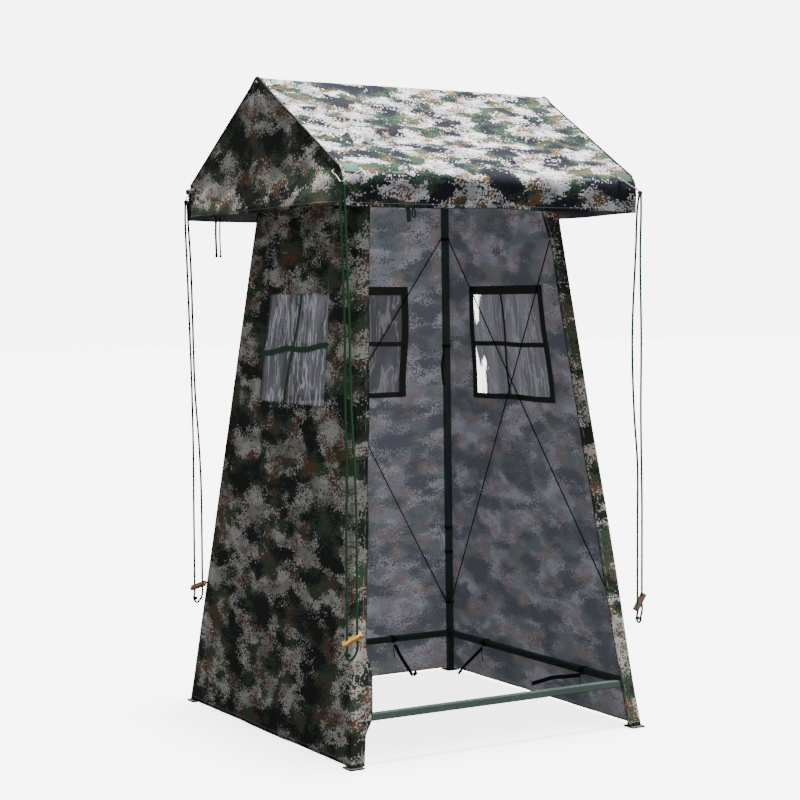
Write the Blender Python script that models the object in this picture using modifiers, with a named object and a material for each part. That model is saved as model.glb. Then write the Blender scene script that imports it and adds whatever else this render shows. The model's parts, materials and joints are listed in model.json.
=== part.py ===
"""Privacy shower tent: a tapered square-tube frame, a gable canopy, three walls and an open front.

Metres, +Z up. X runs along the open front, Y from the front (-Y) to the back, and the origin is on
the floor in the middle of the four feet. Walls, rails and braces all lie in planes that lean inwards
with the legs, so their places come from leg_x and leg_y, the spacing of the leg centres at a height.
"""
import math

import bmesh
import bpy
from mathutils import Vector

# Frame
BASE_HALF_X = 0.600        # leg centres at the floor, from the middle
BASE_HALF_Y = 0.645
TOP_HALF_X = 0.408         # leg centres at the top of the walls
TOP_HALF_Y = 0.370
WALL_TOP = 2.000
TUBE = 0.025               # square tube across its flats
TUBE_WALL = 0.0012
TUBE_CORNER = 0.003
LOWER_RAIL_Z = 0.165
UPPER_RAIL_DROP = 0.015    # upper rail's middle below the top of the walls
FOOT_SIZE = 0.060
FOOT_THICK = 0.005
FOOT_CORNER = 0.006

# Roof
EAVE_RISE = 0.030          # eave above the top of the walls
ROOF_RISE = 0.370          # ridge above the eave
EAVE_HALF_X = 0.615
EAVE_HALF_Y = 0.625
VALANCE_DROP = 0.118
RAFTER = 0.020
POLE_RADIUS = 0.0125
EAVE_POLE_RADIUS = 0.009
POLE_WALL = 0.0012
SLEEVE_WALL = 0.0025
SLEEVE_LENGTH = 0.050
SADDLE_HEIGHT = 0.006      # least height of the wedge between a leg and its rafter

# Cloth and windows
CLOTH = 0.0015
CLOTH_GAP = 0.001
HEM_Z = 0.010
FRONT_STRIP = 0.050
WINDOW_LOW = 1.215
WINDOW_HIGH = 1.620
WINDOW_HALF_LOW = 0.262
WINDOW_HALF_HIGH = 0.235
WINDOW_SEAM = 0.018        # film behind the cloth, all round the opening
FILM = 0.0005
CURTAIN_RADIUS = 0.023
CURTAIN_HALF = 0.350
CURTAIN_ABOVE_HEM = 0.020  # rolled curtain's underside above the valance's lower edge

# Cords
BRACE_RADIUS = 0.0025
BRACE_TOP_DROP = 0.150     # top hooks below the top of the walls
BRACE_LOW_FRONT = 0.450    # lower hooks on the front legs, and on the back legs
BRACE_LOW_BACK = 0.300
BRACE_OFFSET = 0.004       # each cord of a crossing pair from the plane between the legs
ROPE_RADIUS = 0.003
ROPE_STAND_OFF = 0.014     # hanging line outside the valance
ROPE_DROP = 0.045          # knot below the eave corner
RUNNER_LENGTH = 0.076
RUNNER_WIDTH = 0.024
RUNNER_THICK = 0.013
RUNNER_EDGE = 0.0035
RUNNER_HOLES = 0.040
RUNNER_HOLE_GAP = 0.0012   # round the line in each hole
RUNNER_ROLL = 40.0         # degrees that the broad face leans back
RUNNER_TRAVEL = 0.250      # the strands are straight and parallel over the runner's slide

# Each guy line: the runner's heading and tilt in degrees, its place as (across, drop) from the knot,
# and where each strand hangs between the knot and the straight stretch, from the top down.
GUY_LINES = {
    "front_left": (
        -30.6, 30.0, 0.026, 1.540,
        [(-0.001, 0.0), (-0.003, 0.055), (0.001, 0.235), (0.008, 0.485), (0.008, 0.735), (0.012, 0.965)],
        [(0.009, 0.0), (0.011, 0.055), (0.016, 0.235), (0.024, 0.485), (0.027, 0.735), (0.039, 0.965)],
    ),
    "front_right": (
        14.4, 48.0, 0.0, 1.520,
        [(-0.005, 0.0), (-0.016, 0.055), (-0.024, 0.185), (-0.046, 0.555), (-0.034, 0.815), (-0.014, 1.005)],
        [(0.005, 0.0), (0.006, 0.055), (0.002, 0.185), (0.008, 0.555), (0.006, 0.815), (0.010, 1.005)],
    ),
    "back_left": (
        -60.0, 20.0, 0.045, 1.515,
        [(0.001, 0.0), (0.000, 0.055), (0.006, 0.235), (0.015, 0.485), (0.023, 0.735), (0.027, 0.985)],
        [(0.011, 0.0), (0.013, 0.055), (0.024, 0.235), (0.031, 0.485), (0.038, 0.735), (0.057, 0.985)],
    ),
    "back_right": (
        35.0, 25.0, 0.0, 1.530,
        [(-0.005, 0.0), (-0.005, 0.055), (-0.008, 0.235), (-0.012, 0.485), (-0.010, 0.735), (-0.014, 0.965)],
        [(0.005, 0.0), (0.006, 0.055), (0.006, 0.235), (0.005, 0.485), (0.010, 0.735), (0.015, 0.965)],
    ),
}

GAP = 0.0003

# Worked out from the sizes above
EAVE_Z = WALL_TOP + EAVE_RISE
RIDGE_Z = EAVE_Z + ROOF_RISE
SLOPE = math.atan2(ROOF_RISE, EAVE_HALF_Y)
UNDER_CLOTH = CLOTH + CLOTH_GAP
CORNERS = (("front_left", -1, -1), ("front_right", 1, -1), ("back_left", -1, 1), ("back_right", 1, 1))


def leg_x(z):
    """Half spacing of the leg centres along X at a height."""
    return BASE_HALF_X + (TOP_HALF_X - BASE_HALF_X) * z / WALL_TOP


def leg_y(z):
    """Half spacing of the leg centres along Y at a height."""
    return BASE_HALF_Y + (TOP_HALF_Y - BASE_HALF_Y) * z / WALL_TOP


def rafter_underside(y):
    """Height of a rafter's lower face at a distance from the ridge line."""
    return RIDGE_Z - y * math.tan(SLOPE) - (UNDER_CLOTH + RAFTER) / math.cos(SLOPE)


def leg_top():
    """Height of a leg's top face, with room for the saddle where its outer edge is nearest the rafter."""
    lean = (BASE_HALF_Y - TOP_HALF_Y) / WALL_TOP
    room = rafter_underside(BASE_HALF_Y + TUBE / 2) - SADDLE_HEIGHT - 2 * GAP
    return room / (1 - lean * math.tan(SLOPE))


LEG_TOP = leg_top()


def new_collection(name):
    collection = bpy.data.collections.new(name)
    bpy.context.scene.collection.children.link(collection)
    return collection


def new_material(name, colour, roughness, metallic=0.0, alpha=1.0):
    material = bpy.data.materials.new(name)
    material.use_nodes = True
    shader = material.node_tree.nodes["Principled BSDF"]
    shader.inputs["Base Color"].default_value = (*colour, 1.0)
    shader.inputs["Roughness"].default_value = roughness
    shader.inputs["Metallic"].default_value = metallic
    shader.inputs["Alpha"].default_value = alpha
    return material


def add_object(name, data, material, collection):
    thing = bpy.data.objects.new(name, data)
    data.materials.append(material)
    collection.objects.link(thing)
    return thing


def mesh_from(bm, name):
    mesh = bpy.data.meshes.new(name)
    bm.to_mesh(mesh)
    bm.free()
    mesh.shade_smooth()
    mesh.set_sharp_from_angle(angle=math.radians(35))
    return mesh


def mapped_box(name, place, material, collection):
    """A box whose corners, given as three numbers from 0 to 1, go where place puts them."""
    bm = bmesh.new()
    bmesh.ops.create_cube(bm, size=1.0)
    for vert in bm.verts:
        vert.co = place(vert.co.x + 0.5, vert.co.y + 0.5, vert.co.z + 0.5)
    bm.normal_update()
    bmesh.ops.recalc_face_normals(bm, faces=bm.faces)
    return add_object(name, mesh_from(bm, name), material, collection)


def square_tube(name, width, place, material, collection):
    """An open-ended square tube with rounded corners; place takes across, deep and along (0 to 1)."""
    bm = bmesh.new()
    bmesh.ops.create_cube(bm, size=1.0)
    bmesh.ops.scale(bm, vec=(width, width, 1.0), verts=bm.verts)
    corners = [edge for edge in bm.edges if edge.calc_length() > 0.5]
    bmesh.ops.bevel(bm, geom=corners, offset=TUBE_CORNER, segments=2, profile=0.5, affect="EDGES")
    for vert in bm.verts:
        vert.co = place(vert.co.x, vert.co.y, vert.co.z + 0.5)
    bm.normal_update()
    bmesh.ops.recalc_face_normals(bm, faces=bm.faces)
    ends = [face for face in bm.faces if len(face.verts) > 4]
    bmesh.ops.delete(bm, geom=ends, context="FACES_ONLY")
    tube = add_object(name, mesh_from(bm, name), material, collection)
    wall = tube.modifiers.new("wall", "SOLIDIFY")
    wall.thickness = TUBE_WALL
    wall.offset = -1.0
    wall.use_even_offset = True
    return tube


def ring(name, inner, outer, half_length, centre, material, collection):
    """A round sleeve or tube along X, turned from its wall's section."""
    mesh = bpy.data.meshes.new(name)
    section = [(outer, half_length), (outer, -half_length), (inner, -half_length), (inner, half_length)]
    edges = [(0, 1), (1, 2), (2, 3), (3, 0)]
    mesh.from_pydata([(radius, 0.0, height) for radius, height in section], edges, [])
    sleeve = add_object(name, mesh, material, collection)
    turn = sleeve.modifiers.new("turn", "SCREW")
    turn.steps = 24
    turn.render_steps = 24
    turn.use_merge_vertices = True
    turn.merge_threshold = 0.0001
    sleeve.rotation_euler = (0.0, math.pi / 2, 0.0)
    sleeve.location = centre
    return sleeve


def profile_along_x(name, outline, half_length, centre_x, material, collection):
    """A flat outline of (y, z) points, extruded along X."""
    curve = bpy.data.curves.new(name, "CURVE")
    curve.dimensions = "2D"
    curve.fill_mode = "BOTH"
    curve.extrude = half_length
    spline = curve.splines.new("POLY")
    spline.points.add(len(outline) - 1)
    for point, (y, z) in zip(spline.points, outline):
        point.co = (y, z, 0.0, 1.0)
    spline.use_cyclic_u = True
    panel = add_object(name, curve, material, collection)
    panel.rotation_euler = (math.pi / 2, 0.0, math.pi / 2)
    panel.location = (centre_x, 0.0, 0.0)
    return panel


def cord_tube(name, points, radius, material, collection):
    """A round solid along a list of points, with closed ends."""
    curve = bpy.data.curves.new(name, "CURVE")
    curve.dimensions = "3D"
    curve.bevel_depth = radius
    curve.bevel_resolution = 2
    curve.use_fill_caps = True
    spline = curve.splines.new("POLY")
    spline.points.add(len(points) - 1)
    for point, place in zip(spline.points, points):
        point.co = (*place, 1.0)
    return add_object(name, curve, material, collection)


def smooth_route(route):
    """Points on one smooth curve through the route: cubic spans with chord-weighted tangents."""
    places = [Vector(point) for point in route]
    chords = [(end - start).length for start, end in zip(places, places[1:])]
    tangents = [(places[1] - places[0]) / chords[0]]
    for i in range(1, len(places) - 1):
        before = (places[i] - places[i - 1]) / chords[i - 1]
        after = (places[i + 1] - places[i]) / chords[i]
        tangents.append((before * chords[i] + after * chords[i - 1]) / (chords[i - 1] + chords[i]))
    tangents.append((places[-1] - places[-2]) / chords[-1])
    curve = []
    for i, chord in enumerate(chords):
        parts = 3 if chord > 0.06 else 2
        for step in range(parts):
            t = step / parts
            curve.append(
                places[i] * (2 * t**3 - 3 * t**2 + 1)
                + tangents[i] * (chord * (t**3 - 2 * t**2 + t))
                + places[i + 1] * (3 * t**2 - 2 * t**3)
                + tangents[i + 1] * (chord * (t**3 - t**2))
            )
    curve.append(places[-1])
    return curve


def build_legs(collection, green, plate):
    """Four leaning legs, each standing on a flat foot plate."""
    for name, side_x, side_y in CORNERS:
        def place_leg(across, deep, along):
            z = FOOT_THICK + GAP + (LEG_TOP - FOOT_THICK - GAP) * along
            return (side_x * leg_x(z) + across, side_y * leg_y(z) + deep, z)

        square_tube("leg_" + name, TUBE, place_leg, green, collection)

        bm = bmesh.new()
        bmesh.ops.create_cube(bm, size=1.0)
        bmesh.ops.scale(bm, vec=(FOOT_SIZE, FOOT_SIZE, FOOT_THICK), verts=bm.verts)
        uprights = [edge for edge in bm.edges if edge.calc_length() < FOOT_SIZE / 2]
        bmesh.ops.bevel(bm, geom=uprights, offset=FOOT_CORNER, segments=3, profile=0.5, affect="EDGES")
        foot = add_object("foot_plate_" + name, mesh_from(bm, "foot_plate_" + name), plate, collection)
        foot.location = (side_x * BASE_HALF_X, side_y * BASE_HALF_Y, FOOT_THICK / 2)


def build_rails(collection, green):
    """Lower and upper rails between the legs, cut to the legs' lean."""
    for level, height in (("lower", LOWER_RAIL_Z), ("upper", WALL_TOP - UPPER_RAIL_DROP)):
        for name, side in (("front", -1), ("back", 1)):
            def place_crosswise(across, deep, along):
                z = height + deep
                reach = leg_x(z) - TUBE / 2 - GAP
                return ((2 * along - 1) * reach, side * leg_y(z) + across, z)

            square_tube(f"{level}_rail_{name}", TUBE, place_crosswise, green, collection)
        for name, side in (("left", -1), ("right", 1)):
            def place_lengthwise(across, deep, along):
                z = height + deep
                reach = leg_y(z) - TUBE / 2 - GAP
                return (side * leg_x(z) + across, (2 * along - 1) * reach, z)

            square_tube(f"{level}_rail_{name}", TUBE, place_lengthwise, green, collection)


def roof_point(x, side, along, depth):
    """A point under a slope: along it from the ridge line, and depth below the cloth's outside."""
    y = along * math.cos(SLOPE) - depth * math.sin(SLOPE)
    z = RIDGE_Z - along * math.sin(SLOPE) - depth * math.cos(SLOPE)
    return (x, side * y, z)


def build_roof_frame(collection, green):
    """Ridge pole, eave poles, rafters, and the sleeves and wedges that join them."""
    pole_half = EAVE_HALF_X - CLOTH - 2 * CLOTH_GAP
    ridge_sleeve = POLE_RADIUS + GAP + SLEEVE_WALL
    ridge_z = RIDGE_Z - (UNDER_CLOTH + ridge_sleeve) / math.cos(SLOPE)
    ridge_along = (RIDGE_Z - ridge_z) * math.sin(SLOPE)
    ring("ridge_pole", POLE_RADIUS - POLE_WALL, POLE_RADIUS, pole_half, (0.0, 0.0, ridge_z),
         green, collection)

    eave_sleeve = EAVE_POLE_RADIUS + GAP + SLEEVE_WALL
    eave_depth = UNDER_CLOTH + eave_sleeve
    eave_y = EAVE_HALF_Y - eave_depth
    eave_along = (eave_y + eave_depth * math.sin(SLOPE)) / math.cos(SLOPE)
    rafter_x = leg_x(LEG_TOP)
    rafter_start = ridge_along + ridge_sleeve + GAP
    rafter_end = eave_along - eave_sleeve - GAP
    for name, side in (("front", -1), ("back", 1)):
        pole_centre = roof_point(0.0, side, eave_along, eave_depth)
        ring("eave_pole_" + name, EAVE_POLE_RADIUS - POLE_WALL, EAVE_POLE_RADIUS, pole_half, pole_centre,
             green, collection)
    for name, side_x in (("left", -1), ("right", 1)):
        ring("ridge_sleeve_" + name, POLE_RADIUS + GAP, ridge_sleeve, SLEEVE_LENGTH / 2,
             (side_x * rafter_x, 0.0, ridge_z), green, collection)
    for name, side_x, side_y in CORNERS:
        def place_rafter(across, deep, along):
            distance = rafter_start + (rafter_end - rafter_start) * along
            return roof_point(side_x * rafter_x + across, side_y, distance, UNDER_CLOTH + RAFTER / 2 + deep)

        square_tube("rafter_" + name, RAFTER, place_rafter, green, collection)
        ring("eave_sleeve_" + name, EAVE_POLE_RADIUS + GAP, eave_sleeve, SLEEVE_LENGTH / 2,
             roof_point(side_x * rafter_x, side_y, eave_along, eave_depth), green, collection)

        def place_saddle(across, deep, up):
            y = leg_y(LEG_TOP) + (deep - 0.5) * TUBE
            underside = rafter_underside(y) - GAP
            low = LEG_TOP + GAP
            return (side_x * rafter_x + (across - 0.5) * RAFTER, side_y * y, low + (underside - low) * up)

        mapped_box("leg_saddle_" + name, place_saddle, green, collection)


def build_canopy(collection, cloth):
    """Four sewn roof panels: two slopes with their valances, and two gables."""
    under = CLOTH / math.cos(SLOPE)
    seam = CLOTH / 2
    hem = EAVE_Z - VALANCE_DROP
    for name, side in (("front", -1), ("back", 1)):
        inner_y = EAVE_HALF_Y - CLOTH
        outline = [
            (side * GAP, RIDGE_Z - GAP * math.tan(SLOPE)),
            (side * EAVE_HALF_Y, EAVE_Z),
            (side * EAVE_HALF_Y, hem),
            (side * inner_y, hem),
            (side * inner_y, RIDGE_Z - inner_y * math.tan(SLOPE) - under),
            (side * GAP, RIDGE_Z - GAP * math.tan(SLOPE) - under),
        ]
        profile_along_x("roof_slope_" + name, outline, EAVE_HALF_X - CLOTH - GAP, 0.0, cloth, collection)
    for name, side in (("left", -1), ("right", 1)):
        outline = [
            (0.0, RIDGE_Z),
            (-EAVE_HALF_Y, EAVE_Z),
            (-EAVE_HALF_Y, hem),
            (EAVE_HALF_Y, hem),
            (EAVE_HALF_Y, EAVE_Z),
        ]
        profile_along_x("roof_gable_" + name, outline, seam, side * (EAVE_HALF_X - seam), cloth, collection)


def wall_point(wall, across, z, outset):
    """A point on a wall: across it from its middle, and outset from the plane of the leg centres."""
    if wall == "back":
        return (across, leg_y(z) + outset, z)
    side = -1 if wall == "left" else 1
    return (side * (leg_x(z) + outset), across, z)


def window_half(z):
    """Half the width of the window opening at a height."""
    rise = (z - WINDOW_LOW) / (WINDOW_HIGH - WINDOW_LOW)
    return WINDOW_HALF_LOW + (WINDOW_HALF_HIGH - WINDOW_HALF_LOW) * rise


def build_walls(collection, cutters, cloth, film):
    """Three cloth walls, each with a window opening and a sheet of clear film behind it."""
    for wall in ("left", "back", "right"):
        def place_cloth(across, up, out):
            z = HEM_Z + (WALL_TOP - HEM_Z) * up
            half = (leg_x(z) if wall == "back" else leg_y(z)) + TUBE / 2
            return wall_point(wall, (2 * across - 1) * half, z, TUBE / 2 + CLOTH_GAP + CLOTH * out)

        def place_opening(across, up, out):
            z = WINDOW_LOW + (WINDOW_HIGH - WINDOW_LOW) * up
            return wall_point(wall, (2 * across - 1) * window_half(z), z, TUBE * (2 * out))

        def place_film(across, up, out):
            z = WINDOW_LOW - WINDOW_SEAM + (WINDOW_HIGH - WINDOW_LOW + 2 * WINDOW_SEAM) * up
            half = window_half(z) + WINDOW_SEAM
            return wall_point(wall, (2 * across - 1) * half, z, TUBE / 2 + CLOTH_GAP - GAP - FILM * out)

        panel = mapped_box("wall_" + wall, place_cloth, cloth, collection)
        opening = mapped_box("opening_" + wall, place_opening, film, cutters)
        opening.hide_render = True
        opening.display_type = "WIRE"
        cut = panel.modifiers.new("window", "BOOLEAN")
        cut.operation = "DIFFERENCE"
        cut.object = opening
        mapped_box("window_film_" + wall, place_film, film, collection)

    for name, side in (("left", -1), ("right", 1)):
        def place_strip(across, up, out):
            z = HEM_Z + (WALL_TOP - HEM_Z) * up
            x = leg_x(z) + TUBE / 2 - FRONT_STRIP * across
            return (side * x, -(leg_y(z) + TUBE / 2 + CLOTH_GAP + CLOTH * out), z)

        mapped_box("front_strip_" + name, place_strip, cloth, collection)


def build_curtain(collection, cloth):
    """The door curtain, rolled up behind the front valance, in front of the upper rail."""
    z = EAVE_Z - VALANCE_DROP + CURTAIN_ABOVE_HEM + CURTAIN_RADIUS
    y = -(leg_y(z - CURTAIN_RADIUS) + TUBE / 2 + 2 * UNDER_CLOTH + CURTAIN_RADIUS)
    ends = [(-CURTAIN_HALF, y, z), (CURTAIN_HALF, y, z)]
    cord_tube("door_curtain_roll", ends, CURTAIN_RADIUS, cloth, collection)


def build_braces(collection, cord):
    """Two crossing stay cords in the plane of each wall's legs, hooked to the legs' inner sides."""
    for wall in ("left", "back", "right"):
        for name, start, offset in (("a", -1, -BRACE_OFFSET), ("b", 1, BRACE_OFFSET)):
            to_front_leg = start == 1 and wall != "back"
            low = BRACE_LOW_FRONT if to_front_leg else BRACE_LOW_BACK
            ends = []
            for side, z in ((start, WALL_TOP - BRACE_TOP_DROP), (-start, low)):
                reach = (leg_x(z) if wall == "back" else leg_y(z)) - TUBE / 2 - BRACE_RADIUS
                ends.append(wall_point(wall, side * reach, z, offset))
            cord_tube(f"brace_cord_{wall}_{name}", ends, BRACE_RADIUS, cord, collection)


def build_guy_lines(collection, cutters, rope, wood):
    """Four doubled guy lines hanging from the eave corners, each with a wooden runner that slides on it."""
    hole_radius = ROPE_RADIUS + RUNNER_HOLE_GAP
    for name, side_x, side_y in CORNERS:
        turn, tilt, runner_across, runner_drop, left_strand, right_strand = GUY_LINES[name]
        pivot = bpy.data.objects.new("guy_pivot_" + name, None)
        pivot.location = (
            side_x * (EAVE_HALF_X + ROPE_STAND_OFF),
            side_y * (EAVE_HALF_Y + ROPE_STAND_OFF),
            EAVE_Z - ROPE_DROP,
        )
        collection.objects.link(pivot)

        plan = Vector((math.cos(math.radians(turn)), math.sin(math.radians(turn)), 0.0))
        hole_shift = RUNNER_HOLES / 2 * math.cos(math.radians(tilt))
        left = runner_across - hole_shift
        right = runner_across + hole_shift
        low = runner_drop + RUNNER_HOLES / 2 * math.sin(math.radians(tilt))
        high = runner_drop - RUNNER_HOLES / 2 * math.sin(math.radians(tilt))
        loop = [
            (left, high - RUNNER_TRAVEL - RUNNER_LENGTH),
            (left, high - RUNNER_TRAVEL - RUNNER_WIDTH),
            (left, low - RUNNER_WIDTH),
            (left, low + RUNNER_THICK),
            (left, low + RUNNER_WIDTH),
            (left - 0.004, low + 0.040),
            (left - 0.001, low + 0.054),
            (left + 0.010, low + 0.062),
            (left + 0.020, low + 0.054),
            (right - 0.006, low + 0.040),
            (right, low + RUNNER_WIDTH),
            (right, high + RUNNER_THICK),
            (right, high - RUNNER_WIDTH),
            (right, high - RUNNER_TRAVEL - RUNNER_WIDTH),
            (right, high - RUNNER_TRAVEL - RUNNER_LENGTH),
        ]
        route = left_strand + loop + right_strand[::-1]
        points = smooth_route([plan * across - Vector((0.0, 0.0, drop)) for across, drop in route])
        line = cord_tube("guy_line_" + name, points, ROPE_RADIUS, rope, collection)
        line.parent = pivot

        bm = bmesh.new()
        bmesh.ops.create_cube(bm, size=1.0)
        bmesh.ops.scale(bm, vec=(RUNNER_LENGTH, RUNNER_WIDTH, RUNNER_THICK), verts=bm.verts)
        bmesh.ops.bevel(bm, geom=bm.edges, offset=RUNNER_EDGE, segments=3, profile=0.5, affect="EDGES")
        runner = add_object("guy_runner_" + name, mesh_from(bm, "guy_runner_" + name), wood, collection)
        runner.parent = pivot
        runner.location = plan * runner_across - Vector((0.0, 0.0, runner_drop))
        runner.rotation_euler = (math.radians(RUNNER_ROLL), -math.radians(tilt), math.radians(turn))
        for label, across in (("left", left), ("right", right)):
            bm = bmesh.new()
            bmesh.ops.create_cone(bm, cap_ends=True, segments=16, radius1=hole_radius,
                                  radius2=hole_radius, depth=2 * RUNNER_LENGTH)
            drill = add_object(f"drill_{name}_{label}", mesh_from(bm, "drill"), wood, cutters)
            drill.parent = pivot
            drill.location = plan * across - Vector((0.0, 0.0, runner_drop))
            drill.hide_render = True
            drill.display_type = "WIRE"
            hole = runner.modifiers.new("hole_" + label, "BOOLEAN")
            hole.operation = "DIFFERENCE"
            hole.object = drill


def build():
    for thing in list(bpy.data.objects):
        bpy.data.objects.remove(thing)
    tent = new_collection("privacy_shower_tent")
    cutters = new_collection("cutters")
    green = new_material("green_painted_tube", (0.035, 0.060, 0.052), 0.45, 0.3)
    plate = new_material("foot_plate_steel", (0.050, 0.070, 0.062), 0.55, 0.3)
    camouflage = new_material("camouflage_cloth", (0.180, 0.190, 0.180), 0.85)
    film = new_material("clear_film", (0.700, 0.720, 0.740), 0.15, 0.0, 0.35)
    stay = new_material("stay_cord", (0.020, 0.022, 0.024), 0.80)
    rope = new_material("guy_rope", (0.040, 0.110, 0.060), 0.80)
    wood = new_material("runner_wood", (0.450, 0.230, 0.080), 0.50)
    build_legs(tent, green, plate)
    build_rails(tent, green)
    build_roof_frame(tent, green)
    build_canopy(tent, camouflage)
    build_walls(tent, cutters, camouflage, film)
    build_curtain(tent, camouflage)
    build_braces(tent, stay)
    build_guy_lines(tent, cutters, rope, wood)


build()
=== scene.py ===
"""Camouflage sentry tent: the looks of a tapered tube frame with sewn walls and a gable canopy.

Metres, +Z up. X runs along the open front and Y from the front (-Y) to the back. The four legs lean
inwards, so every wall, rail and cord takes its place from the spacing of the legs at its height.
"""

import json
import math

import bpy
import bmesh
import numpy as np
from mathutils import Matrix


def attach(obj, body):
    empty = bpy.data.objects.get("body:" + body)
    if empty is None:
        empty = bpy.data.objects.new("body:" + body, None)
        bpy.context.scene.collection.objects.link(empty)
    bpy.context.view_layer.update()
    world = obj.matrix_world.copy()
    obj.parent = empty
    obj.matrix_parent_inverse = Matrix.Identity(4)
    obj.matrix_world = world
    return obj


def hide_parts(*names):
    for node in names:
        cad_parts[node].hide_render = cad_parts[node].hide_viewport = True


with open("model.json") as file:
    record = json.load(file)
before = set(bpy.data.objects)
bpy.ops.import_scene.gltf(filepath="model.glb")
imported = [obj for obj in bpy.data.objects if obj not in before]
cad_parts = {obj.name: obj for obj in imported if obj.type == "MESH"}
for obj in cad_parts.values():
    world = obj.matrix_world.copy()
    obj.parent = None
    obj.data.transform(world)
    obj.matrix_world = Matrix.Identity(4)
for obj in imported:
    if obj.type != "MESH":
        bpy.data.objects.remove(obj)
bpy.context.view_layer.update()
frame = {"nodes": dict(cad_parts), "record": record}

# ---------------------------------------------------------------- camera
# A standing viewer's camera, a little below head height, off the left front corner and about seven
# metres away, with a long lens that keeps the uprights nearly parallel.
EYE = (-3.6302, -6.0953, 1.5743)
HEADING = 59.4157                                              # degrees from +X
DOWN = 2.9148
ROLL = -0.3131
camera_data = bpy.data.cameras.new("camera")
camera_data.sensor_width = 36.0
camera_data.lens = 83.32
camera = bpy.data.objects.new("camera", camera_data)
bpy.context.scene.collection.objects.link(camera)
camera.matrix_world = (
    Matrix.Translation(EYE)
    @ Matrix.Rotation(math.radians(HEADING - 90.0), 4, "Z")
    @ Matrix.Rotation(math.radians(90.0 - DOWN), 4, "X")
    @ Matrix.Rotation(math.radians(ROLL), 4, "Z")
)
bpy.context.scene.camera = camera


# ---------------------------------------------------------------- studio
# A pale plain floor that runs out of sight into a bright background, under a broad soft key light
# nearly overhead and a weak fill before the doorway. Little light comes back from around the tent.
class Shade:
    """A value in a material's node tree. Sums, differences and products become Math nodes."""

    def __init__(self, tree, socket=None):
        self.tree = tree
        self.socket = socket

    def node(self, kind, settings, values, out=0):
        """A new node with these settings and input values, read at one of its outputs."""
        made = self.tree.nodes.new(kind)
        for key, value in settings.items():
            setattr(made, key, value)
        for key, value in values.items():
            if isinstance(value, Shade):
                self.tree.links.new(value.socket, made.inputs[key])
            else:
                made.inputs[key].default_value = value
        return Shade(self.tree, made.outputs[out])

    def into(self, socket):
        """Links this value to a shader's own socket."""
        self.tree.links.new(self.socket, socket)

    def maths(self, operation, first, second=0.0):
        return self.node("ShaderNodeMath", {"operation": operation}, {0: first, 1: second})

    def __add__(self, other):
        return self.maths("ADD", self, other)

    def __radd__(self, other):
        return self.maths("ADD", other, self)

    def __sub__(self, other):
        return self.maths("SUBTRACT", self, other)

    def __rsub__(self, other):
        return self.maths("SUBTRACT", other, self)

    def __mul__(self, other):
        return self.maths("MULTIPLY", self, other)

    def __rmul__(self, other):
        return self.maths("MULTIPLY", other, self)

    def step(self, level, soft):
        """0 below the level and 1 above it, with a smooth change of this softness."""
        edges = {"Value": self, "From Min": level - soft, "From Max": level + soft}
        return self.node("ShaderNodeMapRange", {"interpolation_type": "SMOOTHSTEP"}, edges)

    def mix(self, low, high):
        """The colour low where this value is 0, and high where it is 1."""
        low = low if isinstance(low, Shade) else (*low, 1.0)
        high = high if isinstance(high, Shade) else (*high, 1.0)
        return self.node("ShaderNodeMix", {"data_type": "RGBA"}, {0: self, 6: low, 7: high}, 2)

    def bump(self, distance, strength=1.0):
        """A normal from this value taken as a height."""
        return self.node("ShaderNodeBump", {}, {"Height": self, "Distance": distance, "Strength": strength})


def clear_tree(tree):
    for made in list(tree.nodes):
        tree.nodes.remove(made)


BACKDROP = 6.5
world = bpy.data.worlds.new("studio")
bpy.context.scene.world = world
world.use_nodes = True
clear_tree(world.node_tree)
air = Shade(world.node_tree)
seen = air.node("ShaderNodeLightPath", {}, {})
room = air.node("ShaderNodeBackground", {}, {"Color": (0.93, 0.96, 1.0, 1.0), "Strength": 0.30})
white = air.node("ShaderNodeBackground", {}, {"Color": (1.0, 1.0, 1.0, 1.0), "Strength": BACKDROP})
both = air.node("ShaderNodeMixShader", {}, {0: seen, 1: room, 2: white})
both.into(world.node_tree.nodes.new("ShaderNodeOutputWorld").inputs["Surface"])

floor_paint = bpy.data.materials.new("floor_paint")
floor_paint.use_nodes = True
clear_tree(floor_paint.node_tree)
ground = Shade(floor_paint.node_tree)
seen = ground.node("ShaderNodeLightPath", {}, {})
dull = ground.node("ShaderNodeBsdfDiffuse", {}, {"Color": (0.06, 0.06, 0.06, 1.0)})
pale = ground.node("ShaderNodeBsdfDiffuse", {}, {"Color": (0.60, 0.60, 0.60, 1.0)})
lift = ground.node("ShaderNodeEmission", {}, {"Color": (1.0, 1.0, 1.0, 1.0), "Strength": 4.0})
lit = ground.node("ShaderNodeAddShader", {}, {0: pale, 1: lift})
both = ground.node("ShaderNodeMixShader", {}, {0: seen, 1: dull, 2: lit})
both.into(floor_paint.node_tree.nodes.new("ShaderNodeOutputMaterial").inputs["Surface"])

floor_mesh = bpy.data.meshes.new("floor")
floor_mesh.from_pydata([(-60, -60, 0), (60, -60, 0), (60, 60, 0), (-60, 60, 0)], [], [(0, 1, 2, 3)])
floor_mesh.materials.append(floor_paint)
floor = bpy.data.objects.new("floor", floor_mesh)
bpy.context.scene.collection.objects.link(floor)

key_data = bpy.data.lights.new("key", "SUN")
key_data.energy = 16.0
key_data.angle = math.radians(14.0)
key_data.color = (1.0, 0.985, 0.96)
key = bpy.data.objects.new("key", key_data)
bpy.context.scene.collection.objects.link(key)
key.matrix_world = Matrix.Rotation(math.radians(-0.4), 4, "X") @ Matrix.Rotation(math.radians(4.5), 4, "Y")

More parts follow.
